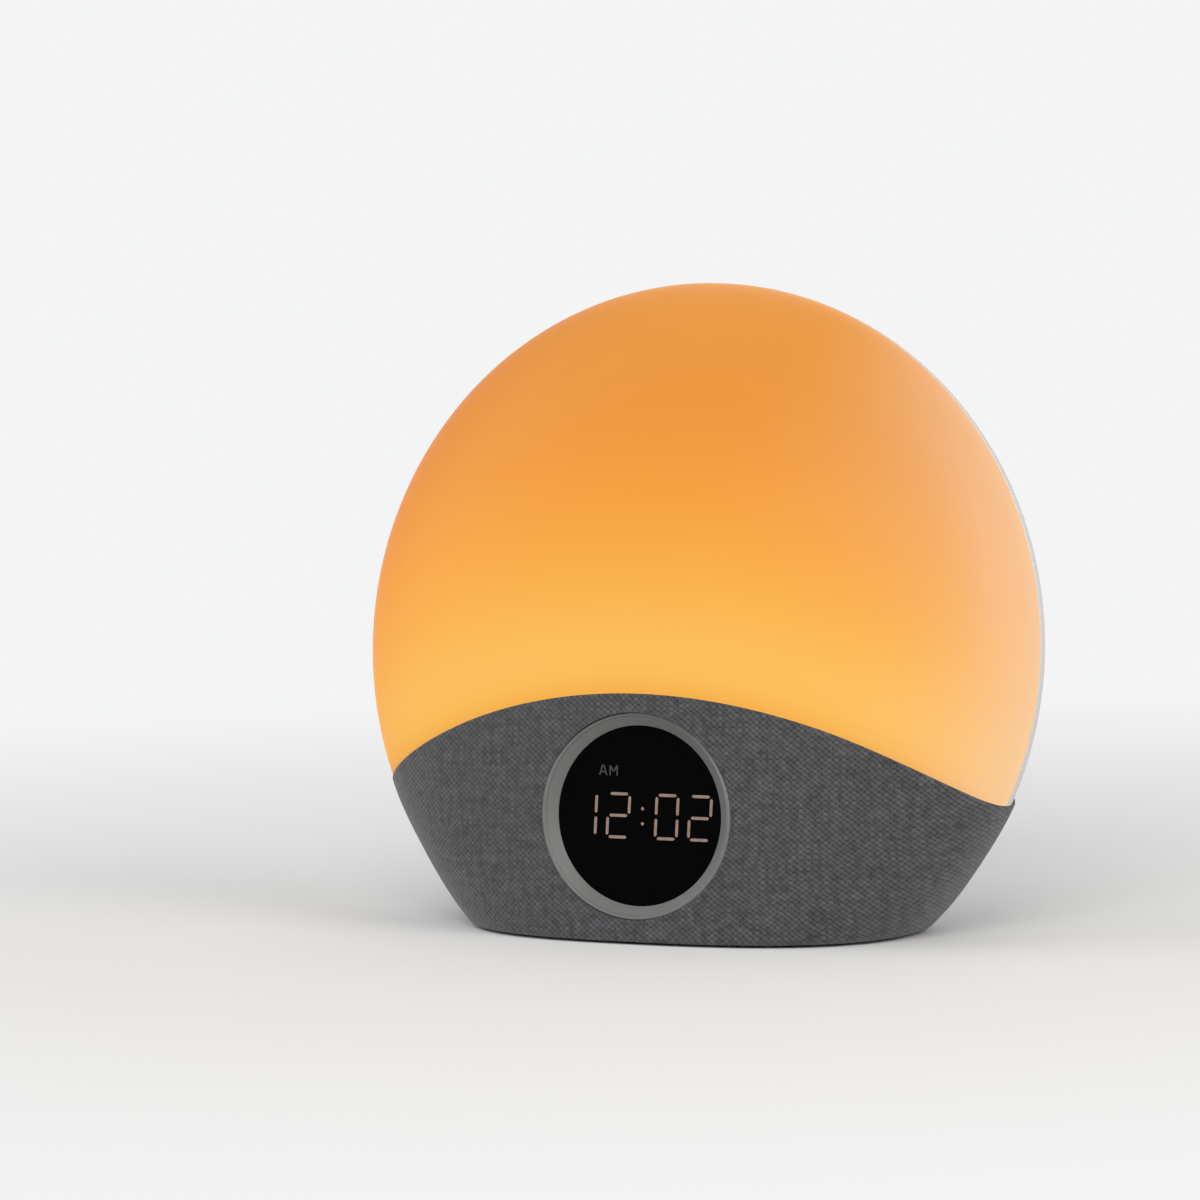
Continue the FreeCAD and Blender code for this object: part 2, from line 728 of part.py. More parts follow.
def bar_prism(x, z, length, upright):
    """One six-sided light guide centred on x, z."""
    half, edge = length / 2 - digit_space, stroke / 2
    corners = [(-half, 0), (edge - half, edge), (half - edge, edge), (half, 0), (half - edge, -edge),
               (edge - half, -edge)]
    if upright:
        corners = [(b, a) for a, b in corners]
    middle = size("digit_drop").number
    points = []
    for a, b in corners:
        points.append(Vector(x + a + (z + b) * slant, glass_front.number, z + b - middle))
    return Part.Face(Part.makePolygon(points + points[:1])).extrude(Vector(0, guide_depth, 0))


def digit_bars(middle):
    """The seven guides of one digit."""
    half_wide, half_high = digit_wide / 2 - stroke / 2, digit_high / 2 - stroke / 2
    bars = [bar_prism(middle, z, 2 * half_wide, False) for z in (half_high, 0, -half_high)]
    for side in (-half_wide, half_wide):
        for z in (half_high / 2, -half_high / 2):
            bars.append(bar_prism(middle + side, z, half_high, True))
    return bars


pitch = size("digit_pitch").number
colon_middle = size("digit_shift").number
digit_middles = [colon_middle + (step * pitch) + math.copysign(size("colon_offset").number / 2, step)
                 for step in (-1.5, -0.5, 0.5, 1.5)]
guide_shapes = []
for middle in digit_middles:
    guide_shapes.extend(digit_bars(middle))
for z in (-size("colon_half_height").number, size("colon_half_height").number):
    guide_shapes.append(bar_prism(colon_middle, z, 2 * (stroke + digit_space), False))
letter_wide, letter_high = size("morning_letter_width").number, size("morning_mark_height").number
for side in (-0.5, 0.5):
    letter_left = side * size("morning_letter_pitch").number - size("morning_mark_left").number - letter_wide / 2
    letter_low = size("morning_mark_rise").number - letter_high / 2
    guide_shapes.append(Part.makeBox(letter_wide, guide_depth, letter_high,
                                     Vector(letter_left, glass_front.number, letter_low)))
guides = doc.addObject("Part::Feature", "LightGuides")
guides.Shape = Part.makeCompound(guide_shapes)
lens = cylinder("LensDisc", glass, size("glass_thickness"), 0, glass_front, 0, deep=True)
label(in_display(cut("DisplayWindow", lens, guides)), "display_window")
guide_node = group("DigitGuides", [guides])
label(in_display(guide_node), "digit_light_guides")

# Foam gasket, light shield and board behind the window
gasket_back = glass_back + size("gasket_thickness")
collar_end = size("collar_length")
gasket = turned("DisplayGasket", [(glass - size("gasket_width"), glass_back), (glass, glass_back),
                                  (glass, gasket_back), (glass - size("gasket_width"), gasket_back)], deep=True)
label(in_display(gasket), "display_gasket")
shield_inner = glass - size("shield_wall")
shield = turned("DisplayShield", [(shield_inner, gasket_back), (glass, gasket_back), (glass, collar_end),
                                  (shield_inner, collar_end)], deep=True)
label(in_display(shield), "display_light_shield")
display_board_back = collar_end + size("display_board_thickness")
display_disc = cylinder("DisplayDisc", collar_radius, size("display_board_thickness"), 0, collar_end, 0, deep=True)
board_holes = [cylinder(f"DisplayBoardHole{i}", size("small_screw_radius") + 0.1, 10, x, collar_end - 1, z, deep=True)
               for i, (x, z) in enumerate(display_screw_places)]
label(in_display(cut("DisplayBoard", display_disc, group("DisplayBoardHoles", board_holes))), "display_board")


def screw(name, radius, head_radius, head_height, length, x, y, z, deep=False):
    """A pan-head screw whose head rests on x, y, z and whose shank runs on from there."""
    axis = "y" if deep else "z"
    spot = {"x": x, "y": y, "z": z}
    spot[axis] = as_size(spot[axis]) - head_height
    head = cylinder(name + "Head", head_radius, head_height, spot["x"], spot["y"], spot["z"], deep=deep)
    shank = cylinder(name + "Shank", radius, length, x, y, z, deep=deep)
    return fuse(name, head, shank)


def back_screw(name, radius, head_radius, head_height, length, x, y, z):
    """A pan-head screw driven from behind: its head starts at y and its shank runs forward."""
    head = cylinder(name + "Head", head_radius, head_height, x, y, z, deep=True)
    shank = cylinder(name + "Shank", radius, length, x, as_size(y) - length, z, deep=True)
    return fuse(name, head, shank)


small = (size("small_screw_radius"), size("small_screw_head_radius"), size("small_screw_head_height"))
large = (size("screw_radius"), size("screw_head_radius"), size("screw_head_height"))
display_screws = [back_screw(f"DisplayScrew{i}", *small, size("display_screw_length"), x, display_board_back, z)
                  for i, (x, z) in enumerate(display_screw_places)]
label(in_display(group("DisplayScrews", display_screws)), "display_screws")
led_shapes = []
for middle in digit_middles:
    for x in (-digit_wide / 2, 0, digit_wide / 2):
        for z in (-digit_high / 4, digit_high / 4):
            led_shapes.append(Part.makeBox(1.6, 0.8, 0.8, Vector(middle + x - 0.8, collar_end.number - 0.8, z - 0.4)))
leds = doc.addObject("Part::Feature", "DigitLeds")
leds.Shape = Part.makeCompound(led_shapes)
label(in_display(group("DigitLedGroup", [leds])), "digit_leds")

# Bottom plate: a flat floor with posts for the main board, feet recesses, vents and the cell's doorway
plate_low = size("plate_low")
middle_back = size("dome_centre_back")
cell_x = -size("cell_left")
cell_y = size("cell_back")
foot_places = [(side * size("foot_spread"), middle_back + way) for side in (-1, 1)
               for way in (-size("foot_front"), size("foot_back"))]
plate_blank = common("PlateBlank", base_form("PlateForm", skin + size("plate_clearance"), plate_low, plate_top),
                     block("PlateSlab", REACH, REACH, 2 * plate_top, 0, -REACH / 2, 0))
main_front = middle_back - size("main_board_front")
main_back = main_front + size("main_board_depth")
post_rows = (main_front + size("main_post_inset"), main_back - size("main_post_inset"))
post_places = [(side * size("main_post_spread"), y) for side in (-1, 1) for y in post_rows]
main_bottom = size("main_board_height")
door_screw_x = cell_x + size("door_screw_right")
door_left = cell_x - size("door_width") / 2
plate_adds = [cylinder(f"MainPost{i}", size("post_radius"), main_bottom - plate_top, x, y, plate_top)
              for i, (x, y) in enumerate(post_places)]
door_top = plate_low + size("door_thickness")
plate_adds.append(cylinder("DoorBoss", size("post_radius"), 7, door_screw_x, cell_y, door_top))
plate_cuts = [cylinder(f"FootRecess{i}", size("foot_radius") + 0.2, size("foot_height"), x, y, 0)
              for i, (x, y) in enumerate(foot_places)]
plate_cuts += [cylinder(f"PlateHole{i}", size("screw_radius") + size("screw_clearance"), 8, x, y, 0)
               for i, (x, y) in enumerate(boss_places)]
plate_cuts += [cylinder(f"PostPilot{i}", size("small_screw_radius") + size("pilot_clearance"), 8, x, y, main_bottom - 8)
               for i, (x, y) in enumerate(post_places)]
plate_cuts.append(block("DoorRecess", size("door_length"), size("door_width"), door_top, door_left
                        + size("door_length") / 2, cell_y - size("door_width") / 2, 0))
plate_cuts.append(cylinder("CellDoorway", size("cell_radius") + size("cell_clearance"), plate_top, cell_x, cell_y, 0))
plate_cuts.append(cylinder("DoorPilot", size("screw_radius") + size("pilot_clearance"), 7, door_screw_x, cell_y, door_top))
for side in (-1, 1):
    for i in (-1, 0, 1):
        x = side * size("vent_spread")
        y = middle_back - 3 + i * size("vent_pitch")
        plate_cuts.append(block(f"Vent{side}{i}", size("vent_length"), size("vent_width"), 8, x, y, 0))
plate_solid = fuse("PlateSolid", plate_blank, *plate_adds)
label(cut("BottomPlate", plate_solid, fuse("PlateCuts", *plate_cuts)), "bottom_plate")

# Rubber feet in their recesses
foot_profile = [(0, 0), (size("foot_radius") - 0.8, 0), (size("foot_radius"), 0.8),
                (size("foot_radius"), size("foot_height")), (0, size("foot_height"))]
feet = [place(turned(f"Foot{i}", foot_profile), x, y, 0) for i, (x, y) in enumerate(foot_places)]
label(group("RubberFeet", feet), "rubber_feet")
bottom_screws = [screw(f"BottomScrew{i}", size("screw_radius"), size("screw_head_radius"), plate_low - 0.1,
                       size("bottom_screw_length"), x, y, plate_low) for i, (x, y) in enumerate(boss_places)]
label(group("BottomScrews", bottom_screws), "bottom_screws")

# Backup cell behind its screwed door
door_gap = size("door_clearance")
door_slab = block("DoorSlab", size("door_length") - 2 * door_gap, size("door_width") - 2 * door_gap,
                  size("door_thickness"), door_left + size("door_length") / 2,
                  cell_y - size("door_width") / 2 + door_gap, plate_low)
door_pad = cylinder("DoorPad", size("cell_radius") - 1, size("door_pad_height"), cell_x, cell_y, door_top)
door_hole = fuse("DoorHoles", cylinder("DoorHole", size("screw_radius") + 0.2, 8, door_screw_x, cell_y, 0),
                 cylinder("DoorSink", size("screw_head_radius") + 0.2, plate_low + 0.6, door_screw_x, cell_y, 0))
label(cut("BatteryDoor", fuse("DoorSolid", door_slab, door_pad), door_hole), "battery_door")
door_screw = screw("DoorScrew", size("screw_radius"), size("screw_head_radius"), 1.2, 6, door_screw_x, cell_y,
                   plate_low + 0.6)
label(door_screw, "battery_door_screw")
cell_low = door_top + size("door_pad_height")
cell_top = cell_low + size("cell_thickness")
holder_inner = size("cell_radius") + size("cell_clearance")
holder_outer = holder_inner + size("holder_wall")
roof_low = cell_top + size("contact_height")
holder = turned("BatteryHolder", [
    (holder_outer, plate_top), (holder_outer, roof_low + size("holder_roof")), (0, roof_low + size("holder_roof")),
    (0, roof_low), (holder_inner, roof_low), (holder_inner, plate_top)])
label(place(holder, cell_x, cell_y, 0), "battery_holder")
cell_edge = 0.3
cell = turned("CoinCell", [(0, cell_low), (size("cell_radius") - 1.5, cell_low), (size("cell_radius"), cell_low + 0.6),
                           (size("cell_radius"), cell_top - cell_edge),
                           (size("cell_radius") - cell_edge, cell_top), (0, cell_top)])
label(place(cell, cell_x, cell_y, 0), "coin_cell")
contact = cylinder("BatteryContact", 4, size("contact_height"), cell_x, cell_y, cell_top)
label(contact, "battery_contact")

# Main board with its parts
half_board = size("main_board_width") / 2
main_outline = [(-half_board, 0), (half_board, 0), (half_board, size("main_board_depth")),
                (-half_board, size("main_board_depth"))]
hole_spots = [(x, y - main_front, size("small_screw_radius") + 0.15) for x, y in post_places]
main_board = plate("MainBoard", main_outline, size("board_thickness"), hole_spots)
label(place(main_board, 0, main_front, main_bottom), "main_board")
main_top = main_bottom + size("board_thickness")
main_screws = []
for i, (x, y) in enumerate(post_places):
    head = cylinder(f"MainScrewHead{i}", size("small_screw_head_radius"), size("small_screw_head_height"), x, y,
                    main_top)
    shank = cylinder(f"MainScrewShank{i}", size("small_screw_radius"), 7, x, y, main_top - 7)
    main_screws.append(fuse(f"MainScrew{i}", head, shank))
label(group("MainBoardScrews", main_screws), "main_board_screws")
chips = [block("Processor", 10, 10, 1.2, -22, main_front + 12, main_top),
         block("Amplifier", 7, 5, 1.5, 20, main_front + 8, main_top),
         block("Driver", 5, 4, 1.5, 24, main_front + 22, main_top),
         block("Clock", 8, 3.4, 2.2, -24, main_front + 26, main_top)]
label(group("BoardChips", chips), "board_chips")
cans = [cylinder(f"Can{i}", radius, tall, x, main_front + y, main_top)
        for i, (radius, tall, x, y) in enumerate([(4, 11, 10, 21), (3.15, 8, 12, 9), (3.15, 8, -10, 7)])]
label(group("BoardCapacitors", cans), "board_capacitors")
sockets = [block(f"Header{i}", wide, 5, 6, x, main_front + y, main_top)
           for i, (wide, x, y) in enumerate([(14, 0, 1), (8, -24, 4), (8, 28, 14)])]
label(group("BoardConnectors", sockets), "board_connectors")

# Power socket and the plastic panel round it
socket_back = middle_back + size("base_back_low") + 0.4
body_back = socket_back - size("socket_body_step")
socket_front = main_back - 8
axis_z = size("socket_axis_height")
socket_body = block("SocketBody", size("socket_width"), body_back - socket_front, size("socket_body_height"), 0,
                    socket_front, main_top)
socket_nose = cylinder("SocketNose", size("socket_nose_radius"), socket_back - socket_front - 1, 0, socket_front + 1,
                       axis_z, deep=True)
socket_bore = cylinder("SocketBore", size("socket_bore_radius"), size("socket_bore_depth") + 1, 0,
                       socket_back - size("socket_bore_depth"), axis_z, deep=True)
label(cut("DcSocket", fuse("SocketSolid", socket_body, socket_nose), socket_bore), "dc_socket")
pin_length = size("socket_bore_depth") - 1
socket_pin = cylinder("SocketPin", size("socket_pin_radius"), pin_length, 0, socket_back - size("socket_bore_depth"),
                      axis_z, deep=True)
label(socket_pin, "dc_socket_pin")
panel_plug = doc.addObject("Part::Feature", "PanelPlug")
panel_plug.Shape = pill(size("panel_width").number, size("panel_height").number, 40, 0, 10, axis_z.number)
panel_wide = doc.addObject("Part::Feature", "PanelWide")
panel_brim = 2 * size("panel_flange").number
panel_wide.Shape = pill(size("panel_width").number + panel_brim, size("panel_height").number + panel_brim, 40, 0, 10,
                        axis_z.number)
panel_hollow = base_form("PanelHollow", skin + 1.2, 4, 40)
panel_face = common("PanelFace", panel_plug, base_form("PanelForm", size("panel_recess"), 4, 40))
panel_flange = common("PanelFlange", panel_wide, base_form("PanelFlangeForm", skin, 4, 40))
panel_bore = cylinder("PanelBore", size("socket_nose_radius") + 0.1, 60, 0, 0, axis_z, deep=True)
panel_solid = cut("PanelSolid", fuse("PanelWhole", panel_face, panel_flange), panel_hollow)
label(cut("SocketPanel", panel_solid, panel_bore), "socket_panel")

# Flexible strip of warm lamps along the arch
arch = size("arch_radius").number
arch_centre = -(size("arch_drop").number + arch)
strip_back = size("strip_width").number
strip_start = -size("strip_front").number
strip_edge = arch + size("strip_thickness").number
half_angle = size("strip_half_angle").number
strip = doc.addObject("Part::Feature", "LedStrip")
sector = Part.makeCylinder(strip_edge, strip_back, Vector(0, strip_start, arch_centre), Vector(0, 1, 0), 2 * half_angle)
sector = sector.cut(Part.makeCylinder(arch, strip_back, Vector(0, strip_start, arch_centre), Vector(0, 1, 0)))
middle = sector.CenterOfGravity
start_angle = math.degrees(math.atan2(middle.x, middle.z - arch_centre))
sector.rotate(Vector(0, 0, arch_centre), Vector(0, 1, 0), -start_angle)
strip.Shape = sector
label(in_dome(group("LedStripGroup", [strip])), "led_strip")
chip_shapes = []
chip_count = int(size("chip_count").number)
chip = size("chip_size").number
for i in range(chip_count):
    angle = (i - (chip_count - 1) / 2) * 2 * (half_angle - 1) / chip_count
    lamp = Part.makeBox(chip, chip, size("chip_height").number,
                        Vector(-chip / 2, strip_start + (strip_back - chip) / 2, arch_centre + strip_edge))
    lamp.rotate(Vector(0, 0, arch_centre), Vector(0, 1, 0), angle)
    chip_shapes.append(lamp)
chips_feature = doc.addObject("Part::Feature", "LedChips")
chips_feature.Shape = Part.makeCompound(chip_shapes)
label(in_dome(group("LedChipGroup", [chips_feature])), "led_chips")

# Speaker behind the grille
gasket_front = seat - size("speaker_gasket")
rim = size("speaker_radius")
speaker_gasket = turned("SpeakerGasket", [(size("speaker_collar_inner"), gasket_front), (rim, gasket_front),
                                          (rim, seat), (size("speaker_collar_inner"), seat)], deep=True)


def in_speaker(item):
    """Move an item from the speaker's own axis to its place behind the grille."""
    tilt = size("lean_angle")
    rise = size("speaker_rise")
    item.Placement = FreeCAD.Placement(Vector(0, 0, rise.number), FreeCAD.Rotation())
    bind(item, "Placement.Base.z", rise)
    return in_dome(group(item.Name + "Set", [item]))


label(in_speaker(speaker_gasket), "speaker_gasket")
flange_front = gasket_front - size("speaker_flange")
basket_front = gasket_front - size("speaker_depth") + size("magnet_height")
magnet_front = basket_front - size("magnet_height")
basket_wall = 0.8
landing_front = gasket_front - 0.3
landing_outer = rim - 0.4
basket_inner = rim - 3.4
basket = turned("SpeakerBasket", [
    (rim, gasket_front), (rim, flange_front), (rim - 2.4, flange_front), (size("magnet_radius") + 1, basket_front),
    (size("coil_radius") + 0.8, basket_front), (size("coil_radius") + 0.8, basket_front + basket_wall),
    (size("magnet_radius") + 0.6, basket_front + basket_wall), (basket_inner, flange_front + 0.5),
    (basket_inner, landing_front), (landing_outer, landing_front), (landing_outer, gasket_front)], deep=True)
label(in_speaker(basket), "speaker_basket")
magnet = turned("SpeakerMagnet", [
    (0, magnet_front), (size("magnet_radius"), magnet_front), (size("magnet_radius"), basket_front),
    (size("coil_radius") + 0.8, basket_front), (size("coil_radius") + 0.8, magnet_front + 2),
    (size("coil_radius") - 0.8, magnet_front + 2), (size("coil_radius") - 0.8, basket_front), (0, basket_front)],
    deep=True)
label(in_speaker(magnet), "speaker_magnet")
coil_back = basket_front + 3.5
coil = turned("VoiceCoil", [(size("coil_radius") - 0.3, basket_front - 2.5), (size("coil_radius"), basket_front - 2.5),
                            (size("coil_radius"), coil_back), (size("coil_radius") - 0.3, coil_back)], deep=True)
label(in_speaker(coil), "voice_coil")
cone_edge = rim - 5.0
cone_back = gasket_front - 1.4
cone = turned("SpeakerCone", [
    (size("coil_radius"), coil_back - 0.5), (size("coil_radius") + 0.5, coil_back - 0.5), (cone_edge, cone_back - 0.5),
    (cone_edge, cone_back), (cone_edge - 0.4, cone_back), (size("coil_radius"), coil_back)], deep=True)
label(in_speaker(cone), "speaker_cone")
surround = turned("SpeakerSurround", [
    (cone_edge, cone_back), (cone_edge, cone_back - 0.5), (cone_edge + 0.5, cone_back - 0.5),
    (cone_edge + 0.9, landing_front - 0.2), (basket_inner - 0.4, landing_front + 0.1),
    (basket_inner, landing_front), (landing_outer, landing_front), (landing_outer, gasket_front),
    (basket_inner - 0.2, gasket_front), (basket_inner - 0.7, gasket_front + 0.25),
    (cone_edge + 0.4, gasket_front - 0.2)], deep=True)
label(in_speaker(surround), "speaker_surround")
cap_radius, cap_rise = size("coil_radius"), size("dust_cap_rise")
cap_wall = 0.4
dust_cap = turned("DustCap", [
    (cap_radius, coil_back), (cap_radius * 0.8, coil_back + cap_rise * 0.6), (cap_radius * 0.4, coil_back + cap_rise * 0.92),
    (0, coil_back + cap_rise), (0, coil_back + cap_rise - cap_wall),
    (cap_radius * 0.4, coil_back + cap_rise * 0.92 - cap_wall), (cap_radius * 0.8 - cap_wall, coil_back + cap_rise * 0.6
                                                                 - cap_wall),
    (cap_radius - cap_wall * 1.5, coil_back)], deep=True)
label(in_speaker(dust_cap), "speaker_dust_cap")

# Shell screws in their wells
well_floor_back = size("shell_boss_back") + size("well_floor")
shell_screws = [back_screw(f"ShellScrew{i}", *large, 9, x, well_floor_back, z)
                for i, (x, z) in enumerate(shell_screw_places)]
label(in_dome(group("ShellScrews", shell_screws)), "shell_screws")

# Key board with its switches
half_key_board = size("key_board_width") / 2
corner = size("key_board_corner")
low, high = size("key_board_low"), size("key_board_high")
key_outline = [(-half_key_board, low), (half_key_board, low), (half_key_board, high - corner),
               (half_key_board - corner, high), (corner - half_key_board, high), (-half_key_board, high - corner)]
key_board = plate("KeyBoard", key_outline, size("board_thickness"),
                  [(x, z, size("small_screw_radius") + 0.15) for x, z in key_post_places], upright=True)
key_board_set = group("KeyBoardSet", [place(key_board, 0, key_board_back, 0)])
label(in_dome(key_board_set), "key_board")
key_board_screws = [screw(f"KeyScrew{i}", *small, size("key_screw_length"), x, key_board_back, z, deep=True)
                    for i, (x, z) in enumerate(key_post_places)]
label(in_dome(group("KeyBoardScrews", key_board_screws)), "key_board_screws")
snooze_place = (as_size(0), size("snooze_rise"))
all_keys = dict(key_places)
all_keys["snooze_key"] = snooze_place
switch_side = size("switch_size")
switches = [block(f"Switch{i}", switch_side, size("switch_height"), switch_side, x, key_board_top, z - switch_side / 2)
            for i, (x, z) in enumerate(all_keys.values())]
label(in_dome(group("TactSwitches", switches)), "tact_switches")

# Keys: each follows the shell's curve, a little proud of it, and presses its switch through a stem
proud = size("key_proud")
key_face = half_ball("KeyFace", back_radius + proud, back_depth + proud, centre=parting)
stem_front = key_board_top + size("switch_height") + size("key_travel") + size("key_play")
for node, (x, z) in all_keys.items():
    snooze = node == "snooze_key"
    half_x = size("snooze_length").number / 2 if snooze else 0
    half_z = size("snooze_height").number / 2 if snooze else size("key_radius").number
    brim = size("key_flange").number
    brim_back = flange_back(max(half_x, half_z), half_z, x.number, z.number)
    brim_front = brim_back - size("key_flange_thickness").number
    cap_length = back_depth.number
    item = doc.addObject("Part::Feature", node + "Blank")
    if snooze:
        cap_shape = pill(2 * half_x, 2 * half_z, cap_length, x.number, brim_front, z.number)
        brim_shape = pill(2 * (half_x + brim), 2 * (half_z + brim), brim_back - brim_front, x.number, brim_front,
                          z.number)
    else:
        cap_shape = Part.makeCylinder(half_z, cap_length, Vector(x.number, brim_front, z.number), Vector(0, 1, 0))
        brim_shape = Part.makeCylinder(half_z + brim, brim_back - brim_front,
                                       Vector(x.number, brim_front, z.number), Vector(0, 1, 0))
    stem = Part.makeCylinder(size("key_stem_radius").number, brim_front - stem_front.number,
                             Vector(x.number, stem_front.number, z.number), Vector(0, 1, 0))
    item.Shape = cap_shape.fuse([brim_shape, stem])
    label(in_dome(common(node.title().replace("_", ""), item, key_face)), node)

# Write each sub-part once everything is sound
doc.recompute()
for item in doc.Objects:
    if "Invalid" in item.State or "Error" in item.State:
        raise RuntimeError(f"{item.Label} is {item.State}")
os.makedirs("parts", exist_ok=True)
for item in finished:
    shape = item.Shape
    if shape.isNull() or not shape.isValid():
        raise RuntimeError(f"{item.Label} has no sound shape")
    shape.exportStep(f"parts/{item.Label}.step")
    print(f"{item.Label}: {len(shape.Solids)} solids, {shape.Volume:.1f} mm3")
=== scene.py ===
import math
import bmesh
import bpy
from mathutils import Matrix, Vector


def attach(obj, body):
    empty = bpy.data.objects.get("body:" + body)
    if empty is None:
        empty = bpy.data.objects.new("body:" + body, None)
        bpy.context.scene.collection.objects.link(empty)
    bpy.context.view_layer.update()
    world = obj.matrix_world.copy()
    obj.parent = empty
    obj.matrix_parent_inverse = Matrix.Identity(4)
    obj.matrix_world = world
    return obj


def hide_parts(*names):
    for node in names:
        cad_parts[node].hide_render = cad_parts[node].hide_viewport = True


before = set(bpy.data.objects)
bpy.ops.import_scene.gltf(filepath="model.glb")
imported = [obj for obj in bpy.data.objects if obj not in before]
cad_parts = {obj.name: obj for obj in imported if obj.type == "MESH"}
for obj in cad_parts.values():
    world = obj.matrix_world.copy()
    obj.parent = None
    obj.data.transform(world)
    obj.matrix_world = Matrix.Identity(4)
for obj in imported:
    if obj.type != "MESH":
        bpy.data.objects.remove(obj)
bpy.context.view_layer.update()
MM = 0.001

# Camera
# The eye stands to the right of the clock and a little above it, far off and through a long lens.
# Its place and turn are real sizes, found from the outlines of the clock.
EYE_AZIMUTH = math.radians(25.70)
EYE_DISTANCE = 1787.15 * MM
EYE_HEIGHT = 234.02 * MM
EYE_YAW = math.radians(-0.80)
EYE_DIP = math.radians(4.893)
EYE_ROLL = math.radians(-1.039)
SENSOR = 36.0
FOCAL = 7268.2 / 1200 * SENSOR
DOME_BACK = 2.0 * MM

ahead = Vector((-math.sin(EYE_AZIMUTH), math.cos(EYE_AZIMUTH), 0))
right = Vector((math.cos(EYE_AZIMUTH), math.sin(EYE_AZIMUTH), 0))
up = Vector((0, 0, 1))
eye = Vector((0, DOME_BACK, EYE_HEIGHT)) - ahead * EYE_DISTANCE
ahead, right = (math.cos(EYE_YAW) * ahead + math.sin(EYE_YAW) * right,
                math.cos(EYE_YAW) * right - math.sin(EYE_YAW) * ahead)
ahead, up = (math.cos(EYE_DIP) * ahead - math.sin(EYE_DIP) * up,
             math.cos(EYE_DIP) * up + math.sin(EYE_DIP) * ahead)
right, up = (math.cos(EYE_ROLL) * right + math.sin(EYE_ROLL) * up,
             math.cos(EYE_ROLL) * up - math.sin(EYE_ROLL) * right)
camera_data = bpy.data.cameras.new("camera")
camera_data.sensor_width = SENSOR
camera_data.lens = FOCAL
camera_data.clip_end = 20
camera = bpy.data.objects.new("camera", camera_data)
bpy.context.collection.objects.link(camera)
turn = Matrix((right, up, -ahead)).transposed().to_4x4()
camera.matrix_world = Matrix.Translation(eye) @ turn
bpy.context.scene.camera = camera

# Studio
# A pale floor that runs on into a white surround, a broad soft light in front and a window to the right.
# The floor turns to the white of the surround away from the clock, so that no horizon shows.
FLOOR_COLOUR = (0.83, 0.83, 0.825, 1)
SURROUND = (0.90, 0.905, 0.91, 1)
FLOOR_CLEAR = 0.11
FLOOR_FADED = 0.62
SOFT_LIGHT = 0.55


def new_material(name):
    """A material with its tree emptied to one Principled shader."""
    material = bpy.data.materials.new(name)
    material.use_nodes = True
    tree = material.node_tree
    shader = tree.nodes["Principled BSDF"]
    return material, tree, shader


def node(tree, kind, inputs=(), **settings):
    """A node of that kind, with its properties set and its inputs fed."""
    made = tree.nodes.new(kind)
    for key, value in settings.items():
        setattr(made, key, value)
    for key, value in dict(inputs).items():
        feed(tree, made.inputs[key], value)
    return made


def feed(tree, socket, value):
    """Gives an input a link where value is an output, and otherwise the value itself."""
    if isinstance(value, bpy.types.NodeSocket):
        tree.links.new(value, socket)
    else:
        socket.default_value = value


def calc(tree, operation, *values):
    """One Math node: its output."""
    made = node(tree, "ShaderNodeMath", operation=operation)
    for socket, value in zip(made.inputs, values):
        feed(tree, socket, value)
    return made.outputs[0]


def seen_directly(tree):
    """One for rays that come from the eye, straight or by a mirror or a lens, and nought for soft light."""
    path = node(tree, "ShaderNodeLightPath")
    return calc(tree, "MAXIMUM", path.outputs["Is Camera Ray"],
                calc(tree, "MAXIMUM", path.outputs["Is Glossy Ray"], path.outputs["Is Transmission Ray"]))


world = bpy.data.worlds.new("surround")
world.use_nodes = True
tree = world.node_tree
background = tree.nodes["Background"]
background.inputs["Color"].default_value = SURROUND
feed(tree, background.inputs["Strength"],
     calc(tree, "MULTIPLY_ADD", seen_directly(tree), 1 - SOFT_LIGHT, SOFT_LIGHT))
bpy.context.scene.world = world

floor_mesh = bpy.data.meshes.new("floor")
bm = bmesh.new()
bmesh.ops.create_circle(bm, cap_ends=True, segments=96, radius=6)
bm.to_mesh(floor_mesh)
bm.free()
floor = bpy.data.objects.new("floor", floor_mesh)
bpy.context.collection.objects.link(floor)
floor_material, tree, shader = new_material("pale floor")
shader.inputs["Base Color"].default_value = FLOOR_COLOUR
shader.inputs["Roughness"].default_value = 0.8
shader.inputs["Specular IOR Level"].default_value = 0.2
where = node(tree, "ShaderNodeTexCoord")
reach = node(tree, "ShaderNodeVectorMath", {0: where.outputs["Object"]}, operation="LENGTH")
fade = node(tree, "ShaderNodeMapRange", {"Value": reach.outputs["Value"], "From Min": FLOOR_CLEAR,
                                         "From Max": FLOOR_FADED}, interpolation_type="SMOOTHSTEP")
glow = node(tree, "ShaderNodeEmission", {"Color": SURROUND})
whiter = calc(tree, "MULTIPLY", fade.outputs["Result"], seen_directly(tree))
join = node(tree, "ShaderNodeMixShader", {0: whiter, 1: shader.outputs["BSDF"], 2: glow.outputs["Emission"]})
tree.links.new(join.outputs["Shader"], tree.nodes["Material Output"].inputs["Surface"])
floor_mesh.materials.append(floor_material)


def area_light(name, place, target, width, height, power, colour):
    """A rectangular soft light that faces a point."""
    data = bpy.data.lights.new(name, "AREA")
    data.shape = "RECTANGLE"
    data.size = width
    data.size_y = height
    data.energy = power
    data.color = colour
    light = bpy.data.objects.new(name, data)
    bpy.context.collection.objects.link(light)
    aim = (target - place).to_track_quat("-Z", "Y")
    light.matrix_world = Matrix.Translation(place) @ aim.to_matrix().to_4x4()
    return light


